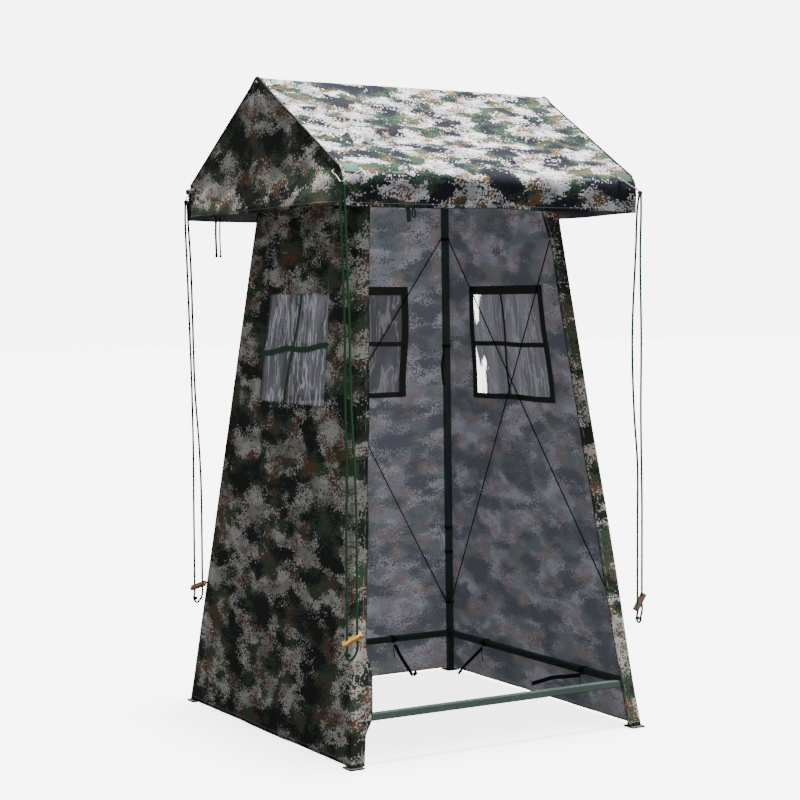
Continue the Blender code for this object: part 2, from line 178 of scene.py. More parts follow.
front_data = bpy.data.lights.new("front_fill", "AREA")
front_data.energy = 22.0
front_data.size = 2.6
front_fill = bpy.data.objects.new("front_fill", front_data)
bpy.context.scene.collection.objects.link(front_fill)
front_fill.matrix_world = Matrix.Translation((0.9, -3.6, 0.55)) @ Matrix.Rotation(math.radians(90.0), 4, "X")


# ---------------------------------------------------------------- guy lines
# Four doubled 8 mm lines of twisted cord, knotted under the eave corners and threaded through a
# wooden runner with two holes. Each ends in a loop for a peg, with a hitch tied in it.
def unit(vectors):
    """The vectors made one long."""
    return vectors / np.linalg.norm(vectors, axis=-1, keepdims=True)


def smooth_path(route, spacing):
    """Points on one smooth curve through the route: cubic spans with chord-weighted tangents."""
    route = np.array(route, dtype=float)
    chords = np.linalg.norm(np.diff(route, axis=0), axis=1)
    slopes = np.diff(route, axis=0) / chords[:, None]
    before, after = chords[:-1, None], chords[1:, None]
    inner = (slopes[:-1] * after + slopes[1:] * before) / (before + after)
    tangents = np.vstack([slopes[:1], inner, slopes[-1:]])
    ends = np.concatenate([[0.0], np.cumsum(chords)])
    at = np.linspace(0.0, ends[-1], max(3, int(ends[-1] / spacing) + 1))
    span = np.clip(np.searchsorted(ends, at, side="right") - 1, 0, len(chords) - 1)
    chord = chords[span][:, None]
    t = (at[:, None] - ends[span][:, None]) / chord
    return (
        route[span] * (2 * t**3 - 3 * t**2 + 1)
        + tangents[span] * chord * (t**3 - 2 * t**2 + t)
        + route[span + 1] * (3 * t**2 - 2 * t**3)
        + tangents[span + 1] * chord * (t**3 - t**2)
    )


def grid_piece(name, points, uv, materials, wrap=False, caps=False, keep=None, hem=None):
    """A mesh over a grid of points: a face between each four neighbours, and a fan over each end."""
    rows, cols = points.shape[:2]
    i, j = np.mgrid[0 : rows - 1, 0 : cols if wrap else cols - 1]
    if keep is not None:
        i, j = i[keep], j[keep]
    i, j = i.ravel(), j.ravel()
    far = (j + 1) % cols
    quads = np.stack([i * cols + j, i * cols + far, (i + 1) * cols + far, (i + 1) * cols + j], axis=1)
    quad_uv = np.stack([uv[i, j], uv[i, j + 1], uv[i + 1, j + 1], uv[i + 1, j]], axis=1)
    co = points.reshape(-1, 3)
    loops, loop_uv = [quads.ravel()], [quad_uv.reshape(-1, 2)]
    starts = [np.arange(len(quads)) * 4]
    if caps:
        c = np.arange(cols)
        n = (c + 1) % cols
        co = np.vstack([co, points[0].mean(axis=0), points[-1].mean(axis=0)])
        first = np.stack([n, c, np.full(cols, rows * cols)], axis=1)
        base = (rows - 1) * cols
        last = np.stack([base + c, base + n, np.full(cols, rows * cols + 1)], axis=1)
        loops += [first.ravel(), last.ravel()]
        loop_uv += [np.repeat(uv[:1, 0], 3 * cols, axis=0), np.repeat(uv[-1:, 0], 3 * cols, axis=0)]
        starts.append(len(quads) * 4 + np.arange(2 * cols) * 3)
    mesh = bpy.data.meshes.new(name)
    loops = np.concatenate(loops).astype(np.int32)
    starts = np.concatenate(starts).astype(np.int32)
    mesh.vertices.add(len(co))
    mesh.vertices.foreach_set("co", co.astype(np.float32).ravel())
    mesh.loops.add(len(loops))
    mesh.loops.foreach_set("vertex_index", loops)
    mesh.polygons.add(len(starts))
    mesh.polygons.foreach_set("loop_start", starts)
    mesh.update(calc_edges=True)
    layer = mesh.uv_layers.new(name="cloth")
    layer.data.foreach_set("uv", np.concatenate(loop_uv).astype(np.float32).ravel())
    if hem is not None:
        edge = mesh.attributes.new("hem", "FLOAT", "POINT")
        edge.data.foreach_set("value", hem.astype(np.float32).ravel())
    mesh.shade_smooth()
    for material in materials:
        mesh.materials.append(material)
    piece = bpy.data.objects.new(name, mesh)
    bpy.context.scene.collection.objects.link(piece)
    return piece


def tube_points(centres, radius, side, flat=1.0, sides=10):
    """Rings round a path: each centre plus cos and sin of the angle times the path's two normals."""
    centres = np.array(centres, dtype=float)
    along = unit(np.gradient(centres, axis=0))
    side = np.broadcast_to(np.array(side, dtype=float), centres.shape)
    first = unit(side - (side * along).sum(axis=1, keepdims=True) * along)
    second = np.cross(along, first)
    angle = np.linspace(0.0, 2 * math.pi, sides, endpoint=False)
    radius = np.broadcast_to(radius, len(centres))[:, None, None]
    wide = np.cos(angle)[None, :, None] * first[:, None]
    deep = np.sin(angle)[None, :, None] * second[:, None] * flat
    return centres[:, None] + radius * (wide + deep)


def tube_piece(name, centres, radius, side, material, flat=1.0, sides=10):
    """A closed tube or flat tape along a path: wide along side, and flat times as thick as wide."""
    points = tube_points(centres, radius, side, flat, sides)
    run = np.concatenate([[0.0], np.cumsum(np.linalg.norm(np.diff(centres, axis=0), axis=1))])
    round_it = np.linspace(0.0, 1.0, sides + 1)
    uv = np.stack(np.meshgrid(round_it, run), axis=-1)
    return grid_piece(name, points, uv, [material], wrap=True, caps=True)


def new_material(name, roughness):
    """A Principled material: itself, its tree, and its shader with the roughness set."""
    material = bpy.data.materials.new(name)
    material.use_nodes = True
    shader = material.node_tree.nodes["Principled BSDF"]
    shader.inputs["Roughness"].default_value = roughness
    return material, Shade(material.node_tree), shader


def cord_material(name, colour, strand, roughness=0.8):
    """Twisted cord: darker lines where a sine of the angle plus the length crosses zero, painted shade in
    the grooves between its strands.
    """
    material, tree, shader = new_material(name, roughness)
    place = tree.node("ShaderNodeUVMap", {"uv_map": "cloth"}, {})
    around = tree.node("ShaderNodeSeparateXYZ", {}, {0: place}, 0)
    length = tree.node("ShaderNodeSeparateXYZ", {}, {0: place}, 1)
    turn = (around * 3.0 + length * (1.0 / strand)) * (2 * math.pi)
    wave = tree.maths("SINE", turn) * 0.5 + 0.5
    fuzz = tree.node("ShaderNodeTexNoise", {}, {"Vector": place, "Scale": 90.0, "Detail": 3.0})
    # painted shade: the cord is darker where its bump is low, in the grooves of the twist
    dark = tuple(channel * 0.70 for channel in colour)
    (wave * 0.6 + fuzz * 0.5).mix(dark, colour).into(shader.inputs["Base Color"])
    wave.bump(0.0002).into(shader.inputs["Normal"])
    shader.inputs["Specular IOR Level"].default_value = 0.1
    return material


line_green = cord_material("line_green", (0.050, 0.150, 0.066), 0.010)
line_dark = cord_material("line_dark", (0.016, 0.028, 0.020), 0.010)
white_cord = cord_material("white_cord", (0.62, 0.60, 0.52), 0.010)

KNOT_SIDE = (0.3, 0.5, 0.8)


def knot_path(centre, size):
    """A trefoil knot: sin t + 2 sin 2t across, -1.5 sin 3t deep and cos t - 2 cos 2t up, times the size."""
    t = np.linspace(0.15, 2 * math.pi - 0.15, 60)
    shape = [np.sin(t) + 2 * np.sin(2 * t), -1.5 * np.sin(3 * t), np.cos(t) - 2 * np.cos(2 * t)]
    return np.array(centre) + np.stack(shape, axis=1) * size


def eyelet_places(side_x, side_y):
    """The middles of a corner's two eyelets, the first beside the eave and the second on the gable."""
    return np.array([[side_x * 0.545, side_y * 0.6245, 2.036], [side_x * 0.6215, side_y * 0.572, 2.033]])


ROPE_RADIUS = 0.0040
BRIDLE_RADIUS = 0.0021
KNOT_X, KNOT_Y, KNOT_Z = 0.629, 0.639, 1.985
HOLE_SHIFT = 0.020                                             # from a runner's middle to each hole

# each line: side of X and Y, heading and tilt of its runner, the runner's place as (across, drop) from
# the knot, its cord, and where each strand hangs as (across, drop) from the top down
GUY_LINES = {
    "front_left": (
        -1, -1, -30.6, 30.0, 0.026, 1.540, line_green,
        [(-0.001, 0.0), (-0.003, 0.055), (0.001, 0.235), (0.008, 0.485), (0.008, 0.735), (0.012, 0.965)],
        [(0.009, 0.0), (0.011, 0.055), (0.016, 0.235), (0.024, 0.485), (0.027, 0.735), (0.039, 0.965)],
    ),
    "front_right": (
        1, -1, 14.4, 48.0, 0.0, 1.520, line_green,
        [(-0.005, 0.0), (-0.016, 0.055), (-0.024, 0.185), (-0.046, 0.555), (-0.034, 0.815), (-0.014, 1.005)],
        [(0.005, 0.0), (0.006, 0.055), (0.002, 0.185), (0.008, 0.555), (0.006, 0.815), (0.010, 1.005)],
    ),
    "back_left": (
        -1, 1, -60.0, 20.0, 0.045, 1.515, line_dark,
        [(0.001, 0.0), (0.000, 0.055), (0.006, 0.235), (0.015, 0.485), (0.023, 0.735), (0.027, 0.985)],
        [(0.011, 0.0), (0.013, 0.055), (0.024, 0.235), (0.031, 0.485), (0.038, 0.735), (0.057, 0.985)],
    ),
    "back_right": (
        1, 1, 35.0, 25.0, 0.0, 1.530, line_dark,
        [(-0.005, 0.0), (-0.005, 0.055), (-0.008, 0.235), (-0.012, 0.485), (-0.010, 0.735), (-0.014, 0.965)],
        [(0.005, 0.0), (0.006, 0.055), (0.006, 0.235), (0.005, 0.485), (0.010, 0.735), (0.015, 0.965)],
    ),
}

for corner, (side_x, side_y, turn, tilt, middle, drop, cord_colour, left, right) in GUY_LINES.items():
    pivot = np.array([side_x * KNOT_X, side_y * KNOT_Y, KNOT_Z])
    plan = np.array([math.cos(math.radians(turn)), math.sin(math.radians(turn)), 0.0])
    across = np.array([-plan[1], plan[0], 0.0])
    near = middle - HOLE_SHIFT * math.cos(math.radians(tilt))
    far = middle + HOLE_SHIFT * math.cos(math.radians(tilt))
    low = drop + HOLE_SHIFT * math.sin(math.radians(tilt))
    high = drop - HOLE_SHIFT * math.sin(math.radians(tilt))
    loop = [
        (near, high - 0.326), (near, high - 0.274), (near, low - 0.024), (near, low + 0.013),
        (near, low + 0.024), (near - 0.004, low + 0.040), (near - 0.001, low + 0.054),
        (near + 0.010, low + 0.062), (near + 0.020, low + 0.054), (far - 0.006, low + 0.040),
        (far, low + 0.024), (far, high + 0.013), (far, high - 0.024), (far, high - 0.274),
        (far, high - 0.326),
    ]
    route = left + loop + right[::-1]
    centres = smooth_path([pivot + plan * a - np.array([0.0, 0.0, d]) for a, d in route], 0.007)
    line = tube_piece("guy_rope_" + corner, centres, ROPE_RADIUS, across, cord_colour, sides=8)
    top = knot_path(pivot + plan * (left[0][0] + 0.005), 0.0027)
    knot = tube_piece("guy_knot_" + corner, top, 0.0029, KNOT_SIDE, cord_colour, sides=8)
    foot = pivot - np.array([0.0, 0.0, low + 0.046]) + plan * (near + 0.002)
    foot_path = knot_path(foot, 0.0026)
    hitch = tube_piece("guy_hitch_" + corner, foot_path, 0.0026, KNOT_SIDE, cord_colour, sides=8)
    for piece in (line, knot, hitch):
        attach(piece, "guy_line_" + corner)
    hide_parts("guy_line_" + corner)

    eyelets = eyelet_places(side_x, side_y)
    arms = (eyelets + pivot) / 2 + np.array([side_x * 0.003, side_y * 0.003, 0.0])
    bridle_route = [
        eyelets[0] + [0, side_y * -0.006, 0.004], eyelets[0] + [0, side_y * 0.003, 0.0], arms[0],
        pivot + [side_x * -0.004, side_y * 0.001, 0.003], pivot + [0, 0, -0.004],
        pivot + [side_x * 0.001, side_y * -0.004, 0.003], arms[1],
        eyelets[1] + [side_x * 0.003, 0, 0.0], eyelets[1] + [side_x * -0.006, 0, 0.004],
    ]
    centres = smooth_path(bridle_route, 0.003)
    length = float(np.linalg.norm(np.diff(centres, axis=0), axis=1).sum())
    bridle = tube_piece("corner_bridle_" + corner, centres, BRIDLE_RADIUS, (0.2, 0.3, 0.9), white_cord,
                        sides=8)
    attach(bridle, "tent")


# ---------------------------------------------------------------- runners
# The runners are bars of varnished wood whose browns differ, from pale orange at the front left to nearly
# black at the front right. The grain runs the length of each bar and is dark along its pores.
def wood(name, light, dark, axis):
    """Varnished wood: noise drawn out along the bar by taking away most of the place along its axis."""
    material, tree, shader = new_material(name, 0.38)
    place = tree.node("ShaderNodeTexCoord", {}, {}, 3)
    reach = tree.node("ShaderNodeVectorMath", {"operation": "DOT_PRODUCT"}, {0: place, 1: axis}, 1)
    back = tree.node("ShaderNodeVectorMath", {"operation": "SCALE"}, {0: axis, "Scale": reach * 0.9})
    cross = tree.node("ShaderNodeVectorMath", {"operation": "SUBTRACT"}, {0: place, 1: back})
    grain = tree.node("ShaderNodeTexNoise", {}, {"Vector": cross, "Scale": 420.0, "Detail": 4.0})
    grain.step(0.5, 0.16).mix(dark, light).into(shader.inputs["Base Color"])
    grain.bump(0.0004).into(shader.inputs["Normal"])
    shader.inputs["Coat Weight"].default_value = 0.12
    return material


WOODS = {
    "front_left": ((0.72, 0.40, 0.075), (0.42, 0.19, 0.03)),
    "front_right": ((0.070, 0.030, 0.013), (0.030, 0.012, 0.006)),
    "back_left": ((0.20, 0.080, 0.042), (0.095, 0.034, 0.018)),
    "back_right": ((0.40, 0.20, 0.080), (0.20, 0.085, 0.030)),
}

for corner, (light, dark) in WOODS.items():
    turn, tilt = (math.radians(angle) for angle in GUY_LINES[corner][2:4])
    axis = (math.cos(tilt) * math.cos(turn), math.cos(tilt) * math.sin(turn), math.sin(tilt))
    runner = frame["nodes"]["guy_runner_" + corner]
    for place in runner.material_slots:
        place.material = wood("runner_wood_" + corner, light, dark, axis)


# ---------------------------------------------------------------- frame
# Square steel tubes and round poles in dark green paint, dulled and scuffed to a paler green where
# they are handled, on pressed steel foot plates with brown stains.
def painted_steel(name, colour, scuff, roughness):
    """Paint with noise in its tone, and a paler scuff where a finer noise is high."""
    material, tree, shader = new_material(name, roughness)
    place = tree.node("ShaderNodeTexCoord", {}, {}, 3)
    broad = tree.node("ShaderNodeTexNoise", {}, {"Vector": place, "Scale": 9.0, "Detail": 4.0})
    fine = tree.node("ShaderNodeTexNoise", {}, {"Vector": place, "Scale": 130.0, "Detail": 4.0})
    shaded = (broad * 0.8 + 0.1).mix(tuple(channel * 0.7 for channel in colour), colour)
    (fine * 0.6 + broad * 0.4).step(0.62, 0.03).mix(shaded, scuff).into(shader.inputs["Base Color"])
    (fine * 0.25 + (roughness - 0.1)).into(shader.inputs["Roughness"])
    fine.bump(0.0003, 0.5).into(shader.inputs["Normal"])
    return material


tube_paint = painted_steel("tube_paint", (0.060, 0.100, 0.086), (0.105, 0.160, 0.140), 0.50)
plate_paint = painted_steel("plate_paint", (0.060, 0.070, 0.066), (0.150, 0.085, 0.050), 0.60)
for subpart in frame["record"]["subparts"]:
    paint = {"tube_green": tube_paint, "foot_plate": plate_paint}.get(subpart["material_slot"])
    if paint:
        for place in frame["nodes"][subpart["node"]].material_slots:
            place.material = paint


# ---------------------------------------------------------------- canopy
# One sewn cover of printed polyester: two slopes with their valances and two gables, with piped seams
# along the gables. It lies slack on the poles, so it sags between them and rolls softly over the eave.
def folds(u, v, seed):
    """Smooth random heights from -1 to 1: fixed ones at whole numbers, blended smoothly between them."""
    table = np.random.default_rng(seed).uniform(-1.0, 1.0, (64, 64))
    i, j = np.floor(u).astype(int), np.floor(v).astype(int)
    a, b = u - i, v - j
    a, b = a * a * (3 - 2 * a), b * b * (3 - 2 * b)
    low = table[i % 64, j % 64] * (1 - a) + table[(i + 1) % 64, j % 64] * a
    high = table[i % 64, (j + 1) % 64] * (1 - a) + table[(i + 1) % 64, (j + 1) % 64] * a
    return low * (1 - b) + high * b


def smooth_step(low, high, value):
    """0 at low and 1 at high, with a smooth change between."""
    t = np.clip((value - low) / (high - low), 0.0, 1.0)
    return t * t * (3 - 2 * t)


def camouflage(name, tones, size, stretch, square, soft, ragged, seed, painted_glow, crumple):
    """Blots where noises of this size pass a level, read in small squares so that their edges are ragged.

    The tones are pale, dusty pale, green, dark, rust and faded. Stretch draws the blots out, soft blurs
    their edges and ragged moves these about. The glow is painted light: the print glows in its own colour,
    standing in for the light that comes through the cloth. Crumple is the height of its crinkles.
    """
    material, tree, shader = new_material(name, 0.8)
    cloth = tree.node("ShaderNodeUVMap", {"uv_map": "cloth"}, {})
    block = tree.node("ShaderNodeVectorMath", {"operation": "SNAP"}, {0: cloth, 1: (square,) * 3})
    cell = tree.node("ShaderNodeVectorMath", {"operation": "MULTIPLY"}, {0: block, 1: (stretch, 1.0, 1.0)})

    def field(shift, scale, detail):
        away = (shift + seed, shift, 0.0)
        spot = tree.node("ShaderNodeVectorMath", {"operation": "ADD"}, {0: cell, 1: away})
        values = {"Vector": spot, "Scale": scale / size, "Detail": detail}
        return tree.node("ShaderNodeTexNoise", {}, {**values, "Roughness": 0.6, "Distortion": 0.15})

    speck = tree.node("ShaderNodeTexNoise", {}, {"Vector": block, "Scale": 130.0, "Detail": 1.0})
    speck = (speck - 0.5) * ragged
    large = field(0.0, 6.5, 2.0)
    green = (large + speck).step(0.478, soft)
    dark = (field(3.0, 7.5, 2.0) * 0.6 + large * 0.4 + speck).step(0.531, soft)
    rust = (field(5.0, 10.5, 3.0) + speck * 2.4).step(0.548, soft)
    dusty = field(7.0, 9.0, 1.0).step(0.52, 0.06)
    colour = dusty.mix(tones[0], tones[1])
    colour = green.mix(colour, tones[2])
    colour = rust.mix(colour, tones[4])
    colour = dark.mix(colour, tones[3])
    wear = tree.node("ShaderNodeTexNoise", {}, {"Vector": cloth, "Scale": 3.0, "Detail": 3.0})
    faded = wear.step(0.5, 0.3) * 0.02
    colour = faded.mix(colour, tones[5])
    edge = tree.node("ShaderNodeAttribute", {"attribute_name": "hem"}, {}, 2)
    seam = edge.step(0.0125, 0.0008) * (1.0 - edge.step(0.0150, 0.0008))
    stitch = tree.node("ShaderNodeSeparateXYZ", {}, {0: cloth})
    beat = tree.maths("SINE", stitch * (2 * math.pi / 0.007)).step(0.0, 0.3)
    colour = (seam * beat * 0.55).mix(colour, tones[0])
    colour = ((1.0 - edge.step(0.003, 0.001)) * 0.8).mix(colour, tones[3])
    colour.into(shader.inputs["Base Color"])
    # painted light: the print glows in its own colour at the glow strength, standing in for light through
    # the cloth
    colour.into(shader.inputs["Emission Color"])
    shader.inputs["Emission Strength"].default_value = painted_glow
    weave = tree.node("ShaderNodeTexNoise", {}, {"Vector": cloth, "Scale": 800.0, "Detail": 1.0})
    drawn = tree.node("ShaderNodeVectorMath", {"operation": "MULTIPLY"}, {0: cloth, 1: (1.0, 0.55, 1.0)})
    values = {"Vector": drawn, "Scale": 16.0, "Detail": 4.0, "Roughness": 0.55}
    crinkle = tree.node("ShaderNodeTexNoise", {}, values)
    folded = 1.0 - edge.step(0.0140, 0.0010) * 0.5
    (crinkle + weave * 0.03 + folded * 0.06).bump(crumple, 0.45).into(shader.inputs["Normal"])
    shader.inputs["Specular IOR Level"].default_value = 0.04
    return material


ROOF_TONES = (
    (0.68, 0.68, 0.74), (0.42, 0.42, 0.47), (0.036, 0.070, 0.048),
    (0.018, 0.018, 0.027), (0.15, 0.098, 0.052), (0.40, 0.40, 0.43),
)
WALL_TONES = (
    (0.54, 0.53, 0.50), (0.34, 0.33, 0.31), (0.070, 0.102, 0.068),
    (0.028, 0.032, 0.029), (0.155, 0.092, 0.060), (0.30, 0.30, 0.29),
)
LINING_TONES = (
    (0.39, 0.39, 0.455), (0.29, 0.29, 0.35), (0.18, 0.215, 0.23),
    (0.13, 0.135, 0.165), (0.27, 0.22, 0.22), (0.33, 0.33, 0.38),
)
roof_print = camouflage("roof_print", ROOF_TONES, 0.62, 0.62, 0.0045, 0.004, 0.36, 0.0, 0.0, 0.016)
wall_print = camouflage("wall_print", WALL_TONES, 0.80, 0.58, 0.0045, 0.006, 0.34, 4.0, 0.0, 0.010)
# painted light: the roof's lining glows faintly in its own colour, standing in for light through the cloth
lining_roof = camouflage("lining_roof", LINING_TONES, 0.70, 0.66, 0.0060, 0.045, 0.20, 0.0, 0.02, 0.010)

EAVE_X = 0.615
EAVE_Y = 0.625
EAVE_Z = 2.030
VALANCE = 0.118
HEM = EAVE_Z - VALANCE
RIDGE_Z = 2.400
PITCH = (RIDGE_Z - EAVE_Z) / EAVE_Y
RAFTER_X = 0.393
VALANCE_ROWS = 20
SLOPE_ROWS = 60


def section(rows_valance, rows_slope):
    """The cover's outline across the ridge, back hem to front hem: straight runs with rounded turns."""
    corners = np.array([(EAVE_Y, HEM), (EAVE_Y, EAVE_Z), (0.0, RIDGE_Z), (-EAVE_Y, EAVE_Z), (-EAVE_Y, HEM)])
    runs = np.concatenate([[0.0], np.cumsum(np.linalg.norm(np.diff(corners, axis=0), axis=1))])
    knots = np.concatenate([
        np.linspace(runs[0], runs[1], rows_valance, endpoint=False),
        np.linspace(runs[1], runs[2], rows_slope, endpoint=False),
        np.linspace(runs[2], runs[3], rows_slope, endpoint=False),
        np.linspace(runs[3], runs[4], rows_valance + 1),
    ])
    spread = np.linspace(-1.0, 1.0, 21)
    weight = 1.0 - np.abs(spread)
    width = np.where(np.abs(knots - runs[2]) < 0.2, 0.034, 0.045)
    width = np.minimum(width, np.minimum(knots - runs[0], runs[4] - knots))
    at = knots[:, None] + spread * width[:, None]
    y = (np.interp(at, runs, corners[:, 0]) * weight).sum(axis=1) / weight.sum()
    z = (np.interp(at, runs, corners[:, 1]) * weight).sum(axis=1) / weight.sum()
    return y, z, knots


sec_y, sec_z, sec_run = section(VALANCE_ROWS, SLOPE_ROWS)
rows = len(sec_y)
cols = 105
along_x = np.linspace(-EAVE_X, EAVE_X, cols)
tangent = unit(np.stack([np.gradient(sec_y), np.gradient(sec_z)], axis=1))
normal_y, normal_z = tangent[:, 1], -tangent[:, 0]
Y, X = np.meshgrid(sec_y, along_x, indexing="ij")
Z = np.repeat(sec_z[:, None], cols, axis=1)
RUN = np.repeat(sec_run[:, None], cols, axis=1)

# down is the distance along the cloth from the ridge, and share its part of the way to the eave
down = np.abs(RUN - sec_run[rows // 2])
slope_length = sec_run[VALANCE_ROWS + SLOPE_ROWS] - sec_run[VALANCE_ROWS]
share = np.clip(down / slope_length, 0.0, 1.0)
front = (RUN > sec_run[rows // 2]) * 1.0
edge_fade = smooth_step(0.0, 0.05, EAVE_X - np.abs(X))
on_slope = smooth_step(0.0, 0.10, down) * smooth_step(0.0, 0.06, slope_length - down)

# the cloth sags between the rafters and stands up a little between them and the gables, most at the
# middle of the slope, and slanting ripples and sharper creases cross it
past = np.clip((np.abs(X) - RAFTER_X) / (EAVE_X - RAFTER_X), 0, 1)
span = np.where(np.abs(X) < RAFTER_X, 1 - (X / RAFTER_X) ** 2, 0.45 * np.sin(math.pi * past))
sag = -0.013 * np.sin(math.pi * share) * span * on_slope
slant = X * 2.2 - 3.2 * share * front + 0.6 * np.sin(X * 3.0)
ripple = folds(slant * 0.55 + 20, down * 15 + X * 3.0 + 3, 3)
ripple = ripple + 0.5 * folds(slant * 1.1 + 7, down * 31 + X * 5.0, 5)
crease = 1 - 2 * np.abs(folds(X * 1.6 + 9, down * 10 - X * 3.5 + 30, 8))
soft = (0.0075 * ripple + 0.0055 * crease) * on_slope * edge_fade

# the valance swings in and out below the eave, with its hem drawn inwards
valance = smooth_step(slope_length - 0.02, slope_length + 0.03, down)
swing = 0.008 * folds(X * 5.0 + 11, RUN * 2.0, 21) + 0.004 * folds(X * 12.0 + 5, RUN * 6.0, 22)
hang = smooth_step(slope_length, slope_length + VALANCE, down)
outset = 0.0015 + sag + soft + valance * (0.003 * np.sin(math.pi * hang) + swing * hang * edge_fade)
outset = outset + 0.0025 * (1 - edge_fade) - 0.010 * valance * hang * edge_fade
Y = Y + outset * normal_y[:, None]
Z = Z + outset * normal_z[:, None]

# the cloth stands up over the ridge, and its ends reach out over the gables, furthest at the ridge
Z = Z + 0.0075 * np.exp(-((down / 0.05) ** 2))
Z = Z + valance * hang * edge_fade * 0.0045 * folds(X * 4.0 + 2, RUN * 0.0 + 7, 31)
lean = np.clip((Z - EAVE_Z) / (RIDGE_Z - EAVE_Z), 0.0, 1.0)
right_edge = smooth_step(0.20, EAVE_X, X)
left_edge = smooth_step(0.30, EAVE_X, -X)
X = X + right_edge * (0.024 * lean**1.5 + 0.002) - left_edge * (0.003 + 0.004 * lean)
Z = Z - right_edge**6 * 0.006 * lean**4
slopes = np.stack([X, Y, Z], axis=-1)
slope_uv = np.stack([np.repeat(along_x[None], rows, axis=0), RUN - sec_run[rows // 2]], axis=-1)
slope_hem = np.minimum(RUN - sec_run[0], sec_run[-1] - RUN)

# each gable hangs from the slopes' own edge, so its first row and outer columns are that edge, and its
# cloth swells outwards, pulls along slanting creases and bellies out below the eave
gables = []
for side, column in ((-1, 0), (1, cols - 1)):
    rim = slopes[:, column]
    top = rim[VALANCE_ROWS : rows - VALANCE_ROWS]
    level = np.linspace(0.0, 1.0, VALANCE_ROWS + 1)[:, None]
    foot = top.copy()
    foot[:, 2] = HEM
    foot[:, 0] = side * (EAVE_X + 0.004)
    panel = top[None] * (1 - level[..., None]) + foot[None] * level[..., None]
    y, z = panel[..., 1], panel[..., 2]
    inside = smooth_step(0.0, 0.10, EAVE_Y - np.abs(y))
    below = smooth_step(EAVE_Z + 0.05, EAVE_Z - 0.03, z)
    tight = smooth_step(0.0, 0.08, (RIDGE_Z - np.abs(y) * PITCH) - z)
    pull = folds(y * 6 + z * 4 + 3, z * 3 - y * 2, 41 + side) * 0.004
    diagonal = (1 - 2 * np.abs(folds((y + z * 1.3) * 7 + 5, (z - y) * 1.5, 51 + side))) * 0.004
    belly = 0.027 * smooth_step(EAVE_Z + 0.035, HEM - 0.020, z) * inside
    swell = 0.008 * inside * tight + pull * inside * tight + below * (belly + diagonal * inside)
    panel[..., 0] += side * (swell + 0.006 * below * inside * folds(y * 8 + 2, z * 0 + 5, 61))
    panel[..., 2] += level * inside * 0.004 * folds(y * 4 + 6, z * 0 + 2, 71)
    panel[:, 0] = rim[VALANCE_ROWS::-1]
    panel[:, -1] = rim[rows - VALANCE_ROWS - 1 :]
    gable_uv = np.stack([panel[..., 1], panel[..., 2]], axis=-1)
    gables.append((side, panel, gable_uv, np.maximum(panel[..., 2] - HEM, 0.0)))

canopy = grid_piece("canopy", slopes[:, ::-1], slope_uv[:, ::-1], [], hem=slope_hem[:, ::-1])
parts = [canopy]
for side, panel, gable_uv, gable_hem in gables:
    order = slice(None, None, side)
    parts.append(grid_piece("gable", panel[:, order], gable_uv[:, order], [], hem=gable_hem[:, order]))


def joined(name, parts, slots, materials):
    """One mesh from several, with points at the same place made one; each part's faces take its slot."""
    bm = bmesh.new()
    for part, slot in zip(parts, slots):
        part.data.polygons.foreach_set("material_index", [slot] * len(part.data.polygons))
        bm.from_mesh(part.data)
    bmesh.ops.remove_doubles(bm, verts=bm.verts, dist=1e-5)
    mesh = bpy.data.meshes.new(name)
    bm.to_mesh(mesh)
    bm.free()
    for material in materials:
        mesh.materials.append(material)
    mesh.shade_smooth()
    for part in parts:
        bpy.data.objects.remove(part)
    piece = bpy.data.objects.new(name, mesh)
    bpy.context.scene.collection.objects.link(piece)
    return piece


def thickened(piece, thickness, lining_slot=1):
    """Gives a sheet its thickness: a second skin on the inside, of the material this many slots on."""
    skin = piece.modifiers.new("thickness", "SOLIDIFY")
    skin.thickness = thickness
    skin.offset = -1.0
    skin.material_offset = lining_slot


# The gables are of the roof's cloth but take the walls' print, whose pale tones are darker: this paints part
# of the shade on the gables as well as giving them the walls' pattern.
canopy = joined("canopy", parts, (0, 2, 2), [roof_print, lining_roof, wall_print, lining_roof])
thickened(canopy, 0.0011)
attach(canopy, "tent")
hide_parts("roof_slope_front", "roof_slope_back", "roof_gable_left", "roof_gable_right")

for name, (side, panel, _, _) in zip(("left", "right"), gables):
    centres = panel[0, 2:-2] + np.array([side * 0.001, 0.0, 0.001])
    piping = tube_piece("gable_piping_" + name, centres, 0.0032, (1, 0, 0), wall_print, sides=8)
    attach(piping, "tent")


# ---------------------------------------------------------------- walls
# Three walls of the same print, sewn at the back corners and wrapped round the front legs into a
# narrow strip. Each has a window opening, and a hem that just clears the ground.
def leg_x(z):
    """Half spacing of the leg centres along X at a height."""
    return 0.600 - 0.096 * z


def leg_y(z):
    """Half spacing of the leg centres along Y at a height."""
    return 0.645 - 0.1375 * z


OUT = 0.0155                                                   # from the legs' middle to the cloth
RAIL_Z = 0.165
WALL_FOOT = 0.007
WALL_TOP = 1.999
WINDOW = 0.537                                                 # share of the wall's half width
WINDOW_LOW = 1.215
WINDOW_HIGH = 1.620


def wall_xyz(wall, u, z, out):
    """Points on a wall: u from -1 to 1 across it at height z, and out from the legs' mid plane."""
    if wall == "back":
        return np.stack([u * (leg_x(z) + OUT), leg_y(z) + out, z], axis=-1)
    side = -1.0 if wall == "left" else 1.0
    return np.stack([side * (leg_x(z) + out), u * (leg_y(z) + OUT), z], axis=-1)


